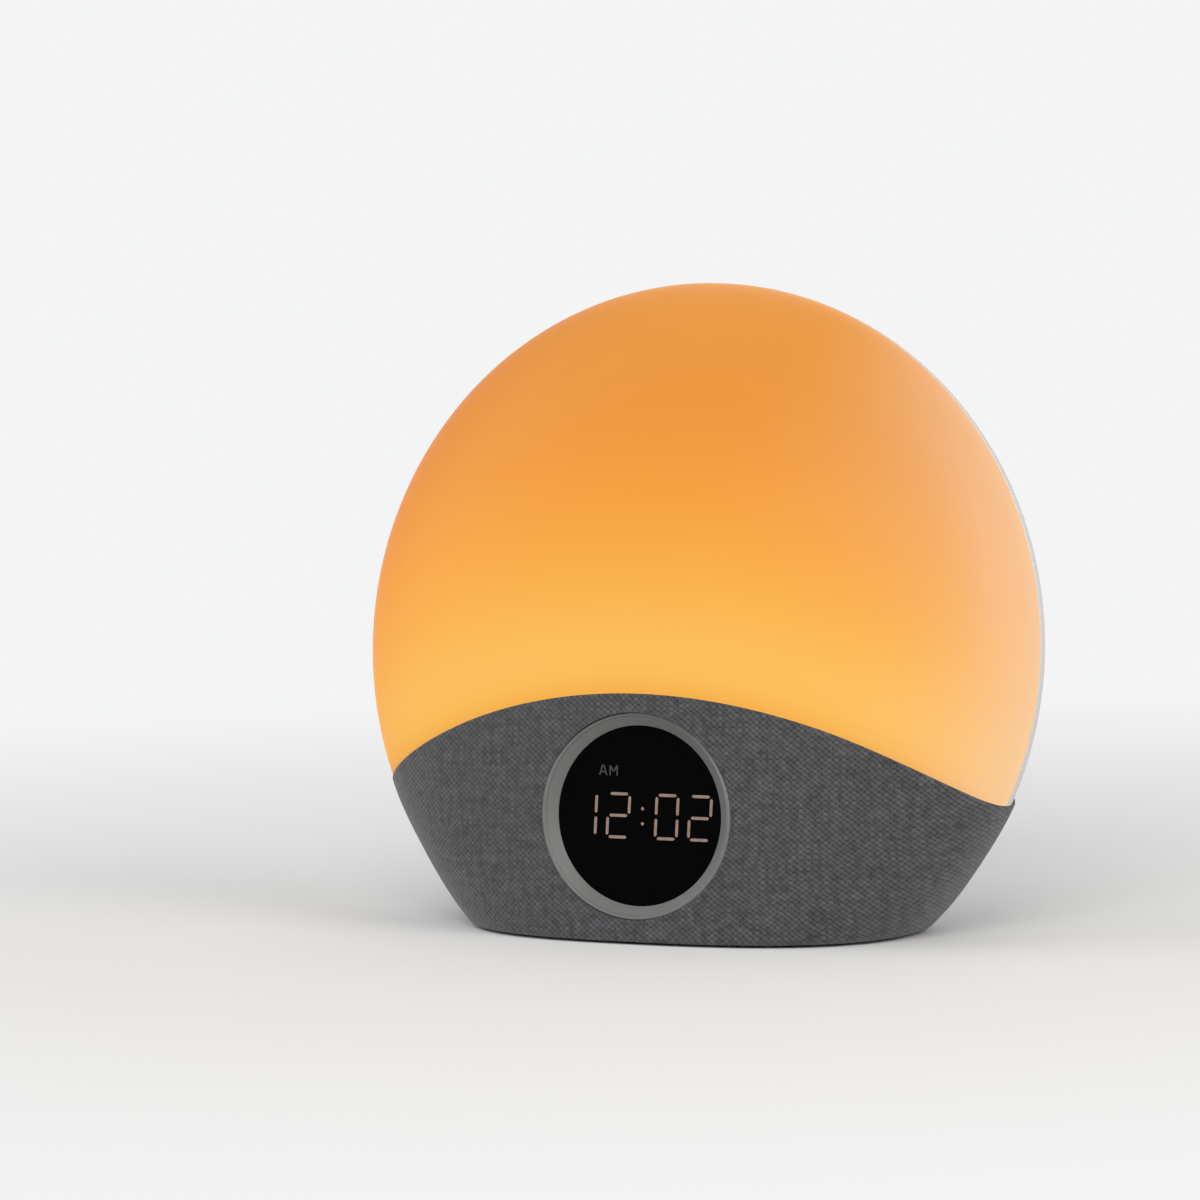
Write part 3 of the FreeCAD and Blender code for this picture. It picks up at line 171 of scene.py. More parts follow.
TARGET = Vector((0, 0, 0.075))
area_light("window", Vector((1.5, -0.35, 0.75)), TARGET, 0.9, 1.2, 11, (1.0, 0.96, 0.94))
area_light("key", Vector((0.5, -1.9, 1.3)), TARGET, 1.4, 1.0, 22, (1.0, 0.99, 0.97))
area_light("fill", Vector((-1.6, -0.6, 0.8)), TARGET, 1.2, 1.2, 8, (0.96, 0.98, 1.0))

# Light dome
# The opal front of the light chamber, blow-moulded in satin plastic and lit by the lamps along the arch.
# It is the front half of a flattened ball, cut off along the arch, and it glows warm amber.
DOME_RADIUS = 90.0 * MM
DOME_HEIGHT = 68.9 * MM
DOME_LEAN = math.radians(6.25)
DOME_FRONT = 37.2 * MM
DOME_WALL = 2.2 * MM
PARTING = 1.5 * MM
ARCH_RADIUS = 151.0 * MM
ARCH_DROP = 12.0 * MM
DOME_SEGMENTS = 160
DOME_RINGS = 40
RIM_FILLET = 0.25 * MM
DOME_PLACE = Matrix.Translation((0, DOME_BACK, DOME_HEIGHT)) @ Matrix.Rotation(-DOME_LEAN, 4, "X")


def spun(name, profile, segments, place, sharp=35):
    """A turned piece: the closed half section (radius, depth) spun about the depth axis and placed."""
    bm = bmesh.new()
    ring = [bm.verts.new((r, y, 0)) for r, y in profile]
    edges = [bm.edges.new((ring[i], ring[(i + 1) % len(ring)])) for i in range(len(ring))
             if not (profile[i][0] == 0 and profile[(i + 1) % len(ring)][0] == 0)]
    bmesh.ops.spin(bm, geom=ring + edges, cent=(0, 0, 0), axis=(0, 1, 0), angle=2 * math.pi, steps=segments,
                   use_merge=True)
    bmesh.ops.remove_doubles(bm, verts=bm.verts, dist=1e-7)
    return placed(name, bm, place, sharp)


def placed(name, bm, place, sharp=35):
    """Turns a closed mesh's faces outwards, puts it in its place and finishes it."""
    bmesh.ops.recalc_face_normals(bm, faces=bm.faces)
    bmesh.ops.transform(bm, matrix=place, verts=bm.verts)
    return finished(name, bm, sharp)


def finished(name, bm, sharp=35):
    """A mesh object at the origin, smooth but for its sharp edges."""
    limit = math.radians(sharp)
    for face in bm.faces:
        face.smooth = True
    for edge in bm.edges:
        edge.smooth = len(edge.link_faces) == 2 and edge.calc_face_angle(0) < limit
    mesh = bpy.data.meshes.new(name)
    bm.to_mesh(mesh)
    bm.free()
    made = bpy.data.objects.new(name, mesh)
    bpy.context.collection.objects.link(made)
    return made


def carve(piece, *tools, sharp=35):
    """Cuts the tools out of a piece and throws the tools away."""
    for tool in tools:
        cut = piece.modifiers.new("cut", "BOOLEAN")
        cut.operation = "DIFFERENCE"
        cut.solver = "EXACT"
        cut.object = tool
    bpy.context.view_layer.update()
    mesh = bpy.data.meshes.new_from_object(piece.evaluated_get(bpy.context.evaluated_depsgraph_get()))
    piece.modifiers.clear()
    bm = bmesh.new()
    bm.from_mesh(mesh)
    limit = math.radians(sharp)
    for face in bm.faces:
        face.smooth = True
    for edge in bm.edges:
        edge.smooth = len(edge.link_faces) == 2 and edge.calc_face_angle(0) < limit
    bm.to_mesh(piece.data)
    bm.free()
    for tool in tools:
        bpy.data.objects.remove(tool)
    return piece


def bar(name, radius, start, end, place, x=0, z=0, segments=64):
    """A round bar along the depth axis."""
    bm = bmesh.new()
    bmesh.ops.create_cone(bm, cap_ends=True, segments=segments, radius1=radius, radius2=radius,
                          depth=end - start)
    bmesh.ops.rotate(bm, cent=(0, 0, 0), matrix=Matrix.Rotation(-math.pi / 2, 3, "X"), verts=bm.verts)
    bmesh.ops.translate(bm, vec=(x, (start + end) / 2, z), verts=bm.verts)
    bmesh.ops.transform(bm, matrix=place, verts=bm.verts)
    return finished(name, bm)


def arch_bar(name, radius):
    """The round bar whose top is the arch between the dome and the base."""
    return bar(name, radius, -0.1, 0.1, DOME_PLACE, z=-(ARCH_DROP + ARCH_RADIUS), segments=720)


def ellipse_points(radius, depth, centre, front, rings):
    """The half section of a flattened ball, from the pole out to the widest circle."""
    side = -1 if front else 1
    turns = [0.5 * math.pi * step / rings for step in range(rings + 1)]
    return [(radius * math.sin(turn), centre + side * depth * math.cos(turn)) for turn in turns]


def relief(tree, shader, height, strength, depth):
    """Feeds a height to the shader's normal through a bump of that strength and depth."""
    bump = node(tree, "ShaderNodeBump", {"Strength": strength, "Distance": depth, "Height": height})
    tree.links.new(bump.outputs["Normal"], shader.inputs["Normal"])


outer = ellipse_points(DOME_RADIUS, DOME_FRONT, 0, True, DOME_RINGS)
inner = ellipse_points(DOME_RADIUS - DOME_WALL, DOME_FRONT - DOME_WALL, 0, True, DOME_RINGS // 2)
profile = outer + [(DOME_RADIUS, PARTING - RIM_FILLET), (DOME_RADIUS - RIM_FILLET, PARTING),
                   (DOME_RADIUS - DOME_WALL, PARTING)] + inner[::-1]
light_dome = spun("light_dome_shell", profile, DOME_SEGMENTS, DOME_PLACE)
carve(light_dome, arch_bar("arch_cutter", ARCH_RADIUS))


def length_of(tree, first, second):
    """The length of a way from its two parts."""
    squares = [calc(tree, "POWER", part, 2.0) for part in (first, second)]
    return calc(tree, "SQRT", calc(tree, "ADD", *squares))


# How far above the arch, in millimetres, and the colour of the glow there
GLOW = [(0.0, (0.925, 0.425, 0.066)), (2.0, (0.955, 0.470, 0.080)), (7.0, (0.990, 0.532, 0.108)),
        (16.0, (0.985, 0.505, 0.096)), (28.0, (0.965, 0.440, 0.070)), (42.0, (0.932, 0.380, 0.053)),
        (56.0, (0.880, 0.340, 0.045)), (70.0, (0.835, 0.312, 0.044)), (84.0, (0.822, 0.318, 0.050)),
        (98.0, (0.820, 0.322, 0.056)), (112.0, (0.790, 0.330, 0.074))]
GLOW_REACH = 112.0
GLOW_STRENGTH = 0.875
dome_material, tree, shader = new_material("opal glow")
coords = node(tree, "ShaderNodeTexCoord")
mapping = node(tree, "ShaderNodeMapping", {"Location": (0, DOME_BACK, DOME_HEIGHT),
                                           "Rotation": (-DOME_LEAN, 0, 0), "Vector": coords.outputs["Object"]},
               vector_type="TEXTURE")
split = node(tree, "ShaderNodeSeparateXYZ", {"Vector": mapping.outputs["Vector"]})
rise = calc(tree, "ADD", split.outputs["Z"], ARCH_DROP + ARCH_RADIUS)
from_axis = length_of(tree, split.outputs["X"], rise)
above = calc(tree, "DIVIDE", calc(tree, "SUBTRACT", from_axis, ARCH_RADIUS), GLOW_REACH * MM)
ramp = node(tree, "ShaderNodeValToRGB")
ramp.color_ramp.interpolation = "B_SPLINE"
for index, (place, colour) in enumerate(GLOW):
    stop = ramp.color_ramp.elements[index] if index < 2 else ramp.color_ramp.elements.new(place / GLOW_REACH)
    stop.position = place / GLOW_REACH
    stop.color = (*colour, 1)
tree.links.new(above, ramp.inputs["Fac"])
cloud = node(tree, "ShaderNodeTexNoise", {"Scale": 14, "Detail": 3, "Vector": coords.outputs["Object"]})
haze = calc(tree, "ADD", calc(tree, "MULTIPLY", cloud.outputs["Fac"], 0.05), GLOW_STRENGTH - 0.025)
off_middle = length_of(tree, split.outputs["X"], split.outputs["Z"])
to_rim = calc(tree, "DIVIDE", off_middle, DOME_RADIUS)
toward = calc(tree, "DIVIDE", split.outputs["X"], calc(tree, "MAXIMUM", off_middle, 0.001))
# Painted sheen: toward the right rim the glow is mixed with a pale pinkish white, a painted reflection of the
# window's light
painted_sheen_side = node(tree, "ShaderNodeMapRange", {"Value": toward, "From Min": 0.36, "From Max": 1.0},
                     interpolation_type="SMOOTHSTEP")
painted_sheen_mask = calc(tree, "MULTIPLY", calc(tree, "POWER", to_rim, 6.5), 0.80)
painted_sheen_mask = calc(tree, "MULTIPLY", painted_sheen_mask, painted_sheen_side.outputs["Result"])
painted_sheen = node(tree, "ShaderNodeMix", {"Factor": painted_sheen_mask, "A": ramp.outputs["Color"], "B": (0.95, 0.635, 0.40, 1)},
             data_type="RGBA")
# Painted shade: at the left rim, away from the window, the glow is darkened and turned more orange
limb_shade_side = node(tree, "ShaderNodeMapRange", {"Value": split.outputs["X"], "From Min": 0.01, "From Max": -0.06},
                interpolation_type="SMOOTHSTEP")
limb_shade_mask = calc(tree, "MULTIPLY", calc(tree, "POWER", to_rim, 12.0), limb_shade_side.outputs["Result"])
painted_limb_shade = node(tree, "ShaderNodeMix", {"Factor": limb_shade_mask, "A": painted_sheen.outputs["Result"],
                                    "B": (0.80, 0.55, 0.05, 1)}, data_type="RGBA", blend_type="MULTIPLY")
dim = node(tree, "ShaderNodeVectorMath", {0: painted_limb_shade.outputs["Result"], "Scale": haze}, operation="SCALE")
tree.links.new(dim.outputs["Vector"], shader.inputs["Emission Color"])
shader.inputs["Emission Strength"].default_value = 1.0
# The base colour is the glow ramp dimmed, so the lamps' light is painted into the opal's own colour
body = node(tree, "ShaderNodeVectorMath", {0: ramp.outputs["Color"], "Scale": 0.10}, operation="SCALE")
shader.inputs["Specular IOR Level"].default_value = 0.1
tree.links.new(body.outputs["Vector"], shader.inputs["Base Color"])
grain = node(tree, "ShaderNodeTexNoise", {"Scale": 2600, "Detail": 2, "Vector": coords.outputs["Object"]})
relief(tree, shader, grain.outputs["Fac"], 0.12, 0.00008)
rough = calc(tree, "ADD", calc(tree, "MULTIPLY", cloud.outputs["Fac"], 0.08), 0.36)
tree.links.new(rough, shader.inputs["Roughness"])
light_dome.data.materials.append(dome_material)
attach(light_dome, "clock_body")
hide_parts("light_dome")

# Base cloth
# Two panels of grey heather cloth, sewn together a little behind each end and stretched over the base.
# Its upper edge follows the arch, its lower edge turns in under the base, and a hole in front takes the bezel.
BASE_GAP = 0.92 * MM
FORM_TOP = 62.0 * MM
FRONT_LOW, FRONT_HIGH = 41.2 * MM, 37.95 * MM
BACK_LOW, BACK_HIGH = 28.7 * MM, 35.2 * MM
PINCH, PINCH_TOP = 0.7 * MM, 34.0 * MM
FRONT_SQUARE_LOW, FRONT_SQUARE_HIGH = 2.59, 1.98
BACK_SQUARE = 2.03
CLOTH = 0.9 * MM
HEM = 3.1 * MM
CLOTH_STEPS = 420
CLOTH_ROWS = 56
END_STRETCH = 0.45
RUN_LEVELS = 16
SEAM_COLUMN = CLOTH_STEPS // 5


def form_point(angle, height, inset=0.0):
    """A point of the base's surface, at an angle round it and a height above the table."""
    share = (FORM_TOP - height) / (FORM_TOP - BASE_GAP)
    rise = (height - DOME_HEIGHT) / math.cos(DOME_LEAN)
    wide = math.sqrt((DOME_RADIUS - inset) ** 2 - rise ** 2)
    waist = (height - BASE_GAP) / (PINCH_TOP - BASE_GAP)
    if 0 < waist < 1:
        wide -= PINCH * math.sin(math.pi * waist) ** 2
    across, along = math.cos(angle), math.sin(angle)
    if along > 0:
        span, square = BACK_HIGH + (BACK_LOW - BACK_HIGH) * share, BACK_SQUARE
    else:
        span = FRONT_HIGH + (FRONT_LOW - FRONT_HIGH) * share
        square = FRONT_SQUARE_HIGH + (FRONT_SQUARE_LOW - FRONT_SQUARE_HIGH) * share
    x = wide * math.copysign(abs(across) ** (2 / square), across)
    y = (span - inset) * math.copysign(abs(along) ** (2 / square), along)
    return Vector((x, y + DOME_BACK, height))


def arch_height(angle):
    """The height at which the base's surface meets the arch."""
    low, high = 0.02, 0.0639
    for _ in range(40):
        middle = (low + high) / 2
        local = DOME_PLACE.inverted() @ form_point(angle, middle)
        if math.hypot(local.x, local.z + ARCH_DROP + ARCH_RADIUS) < ARCH_RADIUS:
            low = middle
        else:
            high = middle
    return low


def even_angles(count):
    """Angles that space points evenly round the base from its back, and the base's girth."""
    fine = 4000
    turns = [2 * math.pi * k / fine + math.pi / 2 for k in range(fine + 1)]
    spots = [form_point(turn, 0.03) for turn in turns]
    run = [0.0]
    for a, b in zip(spots, spots[1:]):
        run.append(run[-1] + (b - a).length)
    found, k = [], 0
    for i in range(count):
        wanted = run[-1] * i / count
        while run[k + 1] < wanted:
            k += 1
        found.append(turns[k] + (wanted - run[k]) / (run[k + 1] - run[k]) * (turns[k + 1] - turns[k]))
    return found, run[-1]


def woven_runs(angles):
    """The cloth's run from its back middle to each angle, at each level; its ends are stretched."""
    runs = []
    for level in range(RUN_LEVELS + 1):
        height = BASE_GAP + (FORM_TOP - BASE_GAP) * level / RUN_LEVELS
        ring = [form_point(angle, height) for angle in angles]
        run = [0.0]
        for a, b in zip(ring, ring[1:] + ring[:1]):
            step = b - a
            run.append(run[-1] + step.length * (1 - END_STRETCH * (abs(step.y) / step.length) ** 3))
        runs.append(run)
    return runs


def run_to(column, height):
    """The run at a column and a height, between the levels next to it."""
    level = RUN_LEVELS * min(max((height - BASE_GAP) / (FORM_TOP - BASE_GAP), 0.0), 0.9999)
    low = int(level)
    return runs[low][column] + (level - low) * (runs[low + 1][column] - runs[low][column])


angles, girth = even_angles(CLOTH_STEPS)
runs = woven_runs(angles)
EDGE_ROLL = 0.45 * MM
ROLL_BEND = 0.13 * MM
WEAVE_THICK = 0.2 * MM
bm = bmesh.new()
ring_tops = [arch_height(angle) for angle in angles]
rows = []
for row in range(CLOTH_ROWS + 1):
    share = row / CLOTH_ROWS
    rows.append([form_point(angle, (top - EDGE_ROLL) * (1 - share) + (BASE_GAP + EDGE_ROLL) * share)
                 for angle, top in zip(angles, ring_tops)])
# The cloth turns in at both edges: a small roll, then the hem under the base
top_rows = []
for inset, drop in [(CLOTH, 0.0), (EDGE_ROLL, 0.0), (ROLL_BEND, ROLL_BEND)]:
    top_rows.append([form_point(angle, top - drop, inset) for angle, top in zip(angles, ring_tops)])
low_rows = []
for inset, height in [(ROLL_BEND, ROLL_BEND), (EDGE_ROLL, 0.0), (HEM, 0.0)]:
    low_rows.append([form_point(angle, BASE_GAP + height, inset) for angle in angles])
rows = top_rows + rows + low_rows
grid = [[bm.verts.new(point) for point in row] for row in rows]
# Two panels meet in a seam a little behind each end; a second map holds the way to the nearest seam
weave_map = bm.loops.layers.uv.new("cloth")
seam_map = bm.loops.layers.uv.new("seam")
for r in range(len(grid) - 1):
    for c in range(CLOTH_STEPS):
        d = (c + 1) % CLOTH_STEPS
        face = bm.faces.new((grid[r + 1][c], grid[r + 1][d], grid[r][d], grid[r][c]))
        if c < SEAM_COLUMN:
            start = 0
        elif c < CLOTH_STEPS - SEAM_COLUMN:
            start = CLOTH_STEPS // 2
        else:
            start = CLOTH_STEPS
        for loop, column in zip(face.loops, (c, c + 1, c + 1, c)):
            height = loop.vert.co.z
            here = run_to(column, height)
            loop[weave_map].uv = ((here - run_to(start, height)) / MM, height / MM)
            ways = [abs(here - run_to(seam, height)) for seam in (SEAM_COLUMN, CLOTH_STEPS - SEAM_COLUMN)]
            loop[seam_map].uv = (min(ways) / MM, height / MM)
bmesh.ops.recalc_face_normals(bm, faces=bm.faces)
bmesh.ops.solidify(bm, geom=bm.faces, thickness=-WEAVE_THICK)
cloth = finished("woven_sleeve", bm, sharp=60)

# Display bezel
# A satin grey ring let into the cloth, with a rounded outer lip and a funnel mouth down to the black lens.
# It is one turned moulding, held by its sleeve in the collar of the base.
DISPLAY_LEAN = math.radians(3.74)
DISPLAY_PLACE = (Matrix.Translation((0, DOME_BACK - 39.08 * MM, 31.23 * MM))
                 @ Matrix.Rotation(-DISPLAY_LEAN, 4, "X"))
BEZEL_RADIUS = 25.4 * MM
SIGHT_RADIUS = 22.0 * MM
BEZEL_DEPTH = 2.44 * MM
SLEEVE_END = 8.0 * MM
SLEEVE_RADIUS = 23.8 * MM
FLANGE_END = 2.0 * MM
LENS_FRONT = 2.64 * MM
LENS_RADIUS = 23.0 * MM
LENS_THICK = 1.6 * MM
LIP = 0.55 * MM
lip_points = []
for step in range(9):
    a = math.radians(200 - 25 * step)
    lip_points.append((BEZEL_RADIUS - LIP + LIP * math.cos(a), LIP - LIP * math.sin(a)))
profile = [(SIGHT_RADIUS, BEZEL_DEPTH + 0.2 * MM), (SIGHT_RADIUS, BEZEL_DEPTH),
           (SIGHT_RADIUS + 0.12 * MM, BEZEL_DEPTH - 0.12 * MM)]
profile += [p for p in lip_points if p[1] < 0.6 * MM]
profile += [(BEZEL_RADIUS, FLANGE_END), (SLEEVE_RADIUS, FLANGE_END), (SLEEVE_RADIUS, SLEEVE_END),
            (LENS_RADIUS + 0.05 * MM, SLEEVE_END), (LENS_RADIUS + 0.05 * MM, BEZEL_DEPTH + 0.2 * MM)]
bezel = spun("display_ring", profile, 160, DISPLAY_PLACE, sharp=28)


def grain_group():
    """Fine moulded grain and faint cloudiness: a height for bump, and a mask for colour and roughness."""
    group = bpy.data.node_groups.new("moulded grain", "ShaderNodeTree")
    group.interface.new_socket("Grain Scale", in_out="INPUT", socket_type="NodeSocketFloat")
    group.interface.new_socket("Cloud Scale", in_out="INPUT", socket_type="NodeSocketFloat")
    group.interface.new_socket("Height", in_out="OUTPUT", socket_type="NodeSocketFloat")
    group.interface.new_socket("Cloud", in_out="OUTPUT", socket_type="NodeSocketFloat")
    entry = node(group, "NodeGroupInput")
    leave = node(group, "NodeGroupOutput")
    where = node(group, "ShaderNodeTexCoord")
    fine = node(group, "ShaderNodeTexVoronoi", {"Vector": where.outputs["Object"],
                                                "Scale": entry.outputs["Grain Scale"]}, feature="SMOOTH_F1")
    soft = node(group, "ShaderNodeTexNoise", {"Vector": where.outputs["Object"],
                                              "Scale": entry.outputs["Cloud Scale"], "Detail": 4})
    group.links.new(fine.outputs["Distance"], leave.inputs["Height"])
    group.links.new(soft.outputs["Fac"], leave.inputs["Cloud"])
    return group


moulded_grain = grain_group()


def moulded(name, colour, roughness, grain_scale=2200.0, grain_depth=0.00004, cloud_scale=60.0, spread=0.06):
    """Moulded plastic: a colour with faint cloudiness, and grain in its bump and its roughness."""
    material, tree, shader = new_material(name)
    grain = node(tree, "ShaderNodeGroup")
    grain.node_tree = moulded_grain
    grain.inputs["Grain Scale"].default_value = grain_scale
    grain.inputs["Cloud Scale"].default_value = cloud_scale
    mix = node(tree, "ShaderNodeMix", {"A": (*[c * (1 - spread) for c in colour], 1),
                                       "B": (*[min(1, c * (1 + spread)) for c in colour], 1),
                                       "Factor": grain.outputs["Cloud"]}, data_type="RGBA")
    tree.links.new(mix.outputs["Result"], shader.inputs["Base Color"])
    tree.links.new(calc(tree, "MULTIPLY_ADD", grain.outputs["Cloud"], 0.12, roughness - 0.06),
                   shader.inputs["Roughness"])
    relief(tree, shader, grain.outputs["Height"], 0.35, grain_depth)
    return material


bezel.data.materials.append(moulded("bezel satin grey", (0.135, 0.135, 0.130), 0.42, 3000.0, 0.00002))
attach(bezel, "clock_body")
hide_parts("display_bezel")

# The cloth's hole for the bezel, and for the socket panel behind
HOLE_RADIUS = 25.3 * MM
SOCKET_HEIGHT = 20.1 * MM
PANEL_WIDTH = 24.0 * MM
PANEL_HEIGHT = 15.0 * MM


def thicken(bm, face, depth):
    """Draws a face out along the depth axis into a solid."""
    made = bmesh.ops.extrude_face_region(bm, geom=[face])["geom"]
    moved = [item for item in made if isinstance(item, bmesh.types.BMVert)]
    bmesh.ops.translate(bm, vec=(0, depth, 0), verts=moved)


def pill_bar(name, length, height, start, end, place, z=0.0, segments=32):
    """A bar with round ends that runs back along the depth axis."""
    bm = bmesh.new()
    half = (length - height) / 2
    ends = []
    for i in range(2 * segments):
        a = 2 * math.pi * i / (2 * segments) - math.pi / 2
        side = half if i < segments else -half
        ends.append(bm.verts.new((side + height / 2 * math.cos(a), start, z + height / 2 * math.sin(a))))
    face = bm.faces.new(ends)
    thicken(bm, face, end - start)
    return placed(name, bm, place)


carve(cloth, bar("bezel_hole", HOLE_RADIUS, -10 * MM, 12 * MM, DISPLAY_PLACE, segments=128),
      pill_bar("panel_hole", PANEL_WIDTH + 0.2 * MM, PANEL_HEIGHT + 0.2 * MM, 10 * MM, 50 * MM,
               Matrix.Identity(4), z=SOCKET_HEIGHT), sharp=60)


def weave_group():
    """A close weave read from the cloth's map in millimetres: its relief, the shade (grey) of its yarns and the
    painted shade in the gaps between threads.
    """
    group = bpy.data.node_groups.new("basket weave", "ShaderNodeTree")
    for name in ("Warp Pitch", "Weft Pitch"):
        group.interface.new_socket(name, in_out="INPUT", socket_type="NodeSocketFloat")
    for name in ("Height", "Shade", "Painted Gap Shade"):
        group.interface.new_socket(name, in_out="OUTPUT", socket_type="NodeSocketFloat")
    entry = node(group, "NodeGroupInput")
    leave = node(group, "NodeGroupOutput")
    where = node(group, "ShaderNodeUVMap", uv_map="cloth")
    wander = node(group, "ShaderNodeTexNoise", {"Scale": 0.12, "Detail": 2, "Vector": where.outputs["UV"]},
                  noise_dimensions="2D")
    split = node(group, "ShaderNodeSeparateXYZ", {"Vector": where.outputs["UV"]})
    sway = calc(group, "MULTIPLY", calc(group, "SUBTRACT", wander.outputs["Fac"], 0.5), 0.9)
    across = calc(group, "DIVIDE", calc(group, "ADD", split.outputs["X"], sway), entry.outputs["Warp Pitch"])
    along = calc(group, "DIVIDE", calc(group, "ADD", split.outputs["Y"], sway), entry.outputs["Weft Pitch"])
    falling = calc(group, "MULTIPLY", calc(group, "ADD", across, along), 0.5)
    rising = calc(group, "MULTIPLY_ADD", calc(group, "SUBTRACT", across, along), 0.5, 500.5)
    ribs = [calc(group, "POWER", calc(group, "ABSOLUTE", calc(group, "SINE", calc(
        group, "MULTIPLY", slant, math.pi))), 0.8) for slant in (falling, rising)]
    height = calc(group, "MULTIPLY_ADD", ribs[0], 0.60, calc(group, "MULTIPLY", ribs[1], 0.40))
    group.links.new(height, leave.inputs["Height"])
    first, second = calc(group, "FLOOR", falling), calc(group, "FLOOR", rising)
    warp, weft = calc(group, "ADD", first, second), calc(group, "SUBTRACT", first, second)
    spots = []
    for thread, other, run in ((warp, weft, 6.0), (weft, warp, 8.0)):
        stretch = calc(group, "FLOOR", calc(group, "DIVIDE", other, run))
        join = node(group, "ShaderNodeCombineXYZ", {"X": thread, "Y": stretch})
        grey = node(group, "ShaderNodeTexWhiteNoise", {"Vector": join.outputs["Vector"]},
                    noise_dimensions="2D")
        spots.append(grey.outputs["Value"])
    shade = calc(group, "MULTIPLY_ADD", spots[0], 0.6, calc(group, "MULTIPLY", spots[1], 0.4))
    blur = node(group, "ShaderNodeTexNoise", {"Scale": 0.5, "Detail": 3, "Vector": where.outputs["UV"]},
                noise_dimensions="2D")
    mottle = calc(group, "MULTIPLY", blur.outputs["Fac"], 0.64)
    group.links.new(calc(group, "MULTIPLY_ADD", shade, 0.36, mottle), leave.inputs["Shade"])
    # Painted shade: darker where the threads dip, in the gaps between them
    group.links.new(calc(group, "SUBTRACT", 1.0, calc(group, "SMOOTH_MIN", height, 0.75, 0.2)),
                    leave.inputs["Painted Gap Shade"])
    return group


WARP_PITCH = 0.85
WEFT_PITCH = 0.69
cloth_material, tree, shader = new_material("grey heather cloth")
weave = node(tree, "ShaderNodeGroup")
weave.node_tree = weave_group()
weave.inputs["Warp Pitch"].default_value = WARP_PITCH
weave.inputs["Weft Pitch"].default_value = WEFT_PITCH
yarn = node(tree, "ShaderNodeValToRGB")
yarn.color_ramp.elements[0].position = 0.2
yarn.color_ramp.elements[0].color = (0.055, 0.056, 0.059, 1)
yarn.color_ramp.elements[1].position = 0.8
yarn.color_ramp.elements[1].color = (0.135, 0.138, 0.146, 1)
tree.links.new(weave.outputs["Shade"], yarn.inputs["Fac"])
# Painted shade: the yarn colour is darkened in the seam's groove and in the weave's gaps; the groove is also
# pressed into the relief
where = node(tree, "ShaderNodeUVMap", uv_map="seam")
seam = node(tree, "ShaderNodeSeparateXYZ", {"Vector": where.outputs["UV"]})
clear = node(tree, "ShaderNodeMapRange", {"Value": seam.outputs["X"], "From Min": 0.05, "From Max": 0.7},
             interpolation_type="SMOOTHSTEP")
seam_groove_and_shade = calc(tree, "SUBTRACT", 1.0, clear.outputs["Result"])
shadowed = node(tree, "ShaderNodeMix", {"Factor": calc(tree, "MAXIMUM", weave.outputs["Painted Gap Shade"], seam_groove_and_shade),
                                        "A": yarn.outputs["Color"], "B": (0.07, 0.07, 0.075, 1)},
                data_type="RGBA", blend_type="MULTIPLY")
tree.links.new(shadowed.outputs["Result"], shader.inputs["Base Color"])
shader.inputs["Roughness"].default_value = 0.9
shader.inputs["Sheen Weight"].default_value = 0.25
shader.inputs["Sheen Roughness"].default_value = 0.5
shader.inputs["Specular IOR Level"].default_value = 0.2
relief(tree, shader, calc(tree, "SUBTRACT", weave.outputs["Height"], seam_groove_and_shade), 0.9, 0.00018)
cloth.data.materials.append(cloth_material)
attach(cloth, "clock_body")
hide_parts("fabric_sleeve")

# Display lens and digits
# A polished black lens, with thin seven-bar light guides in its front that show the time in dim warm white.
lens_edge = 0.15 * MM
profile = [(0, LENS_FRONT), (LENS_RADIUS - lens_edge, LENS_FRONT), (LENS_RADIUS, LENS_FRONT + lens_edge),
           (LENS_RADIUS, LENS_FRONT + LENS_THICK), (0, LENS_FRONT + LENS_THICK)]
lens = spun("display_lens", profile, 128, DISPLAY_PLACE, sharp=28)
lens_material, tree, shader = new_material("polished black lens")
shader.inputs["Base Color"].default_value = (0.001, 0.001, 0.001, 1)
where = node(tree, "ShaderNodeTexCoord")
smudge = node(tree, "ShaderNodeTexNoise", {"Scale": 90, "Detail": 5, "Vector": where.outputs["Object"]})
tree.links.new(calc(tree, "MULTIPLY_ADD", smudge.outputs["Fac"], 0.10, 0.02), shader.inputs["Roughness"])
shader.inputs["Specular IOR Level"].default_value = 0.02
lens.data.materials.append(lens_material)
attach(lens, "clock_body")
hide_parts("display_window")

GUIDE_DEPTH = 0.33 * MM
GUIDE_PROUD = 0.03 * MM
BAR = 0.72 * MM
BAR_GAP = 0.42 * MM
DIGIT_WIDE = 5.72 * MM
DIGIT_HIGH = 10.54 * MM
DIGIT_SLANT = math.tan(math.radians(2.2))
DIGIT_MIDDLES = (-14.72 * MM, -5.77 * MM, 7.28 * MM, 16.23 * MM)
DIGIT_DROP = 0.08 * MM
COLON_MIDDLE = 0.76 * MM
COLON_HALF = 1.83 * MM
COLON_DOT = 0.40 * MM
MARK_MIDDLE = (-8.6 * MM, 10.85 * MM)
MARK_HIGH = 2.5 * MM
MARK_WIDE = 1.9 * MM
MARK_PITCH = 2.8 * MM
MARK_STROKE = 0.34 * MM
SHOWN = ("bc", "abged", "abcdef", "abged")


def add_prism(bm, corners):
    """A flat inlay with that outline, a hair proud of the lens."""
    face = bm.faces.new([bm.verts.new((x, LENS_FRONT + GUIDE_DEPTH - GUIDE_PROUD, z)) for x, z in corners])
    thicken(bm, face, -GUIDE_DEPTH)


def stroke_outline(start, end, thick):
    """The corners of a straight stroke between two points."""
    start, end = Vector(start), Vector(end)
    side = (end - start).orthogonal().normalized() * thick / 2
    return [start + side, end + side, end - side, start - side]


def disc_outline(x, z, radius, count=24):
    """The corners of a round dot."""
    turns = [2 * math.pi * step / count for step in range(count)]
    return [(x + radius * math.cos(turn), z + radius * math.sin(turn)) for turn in turns]


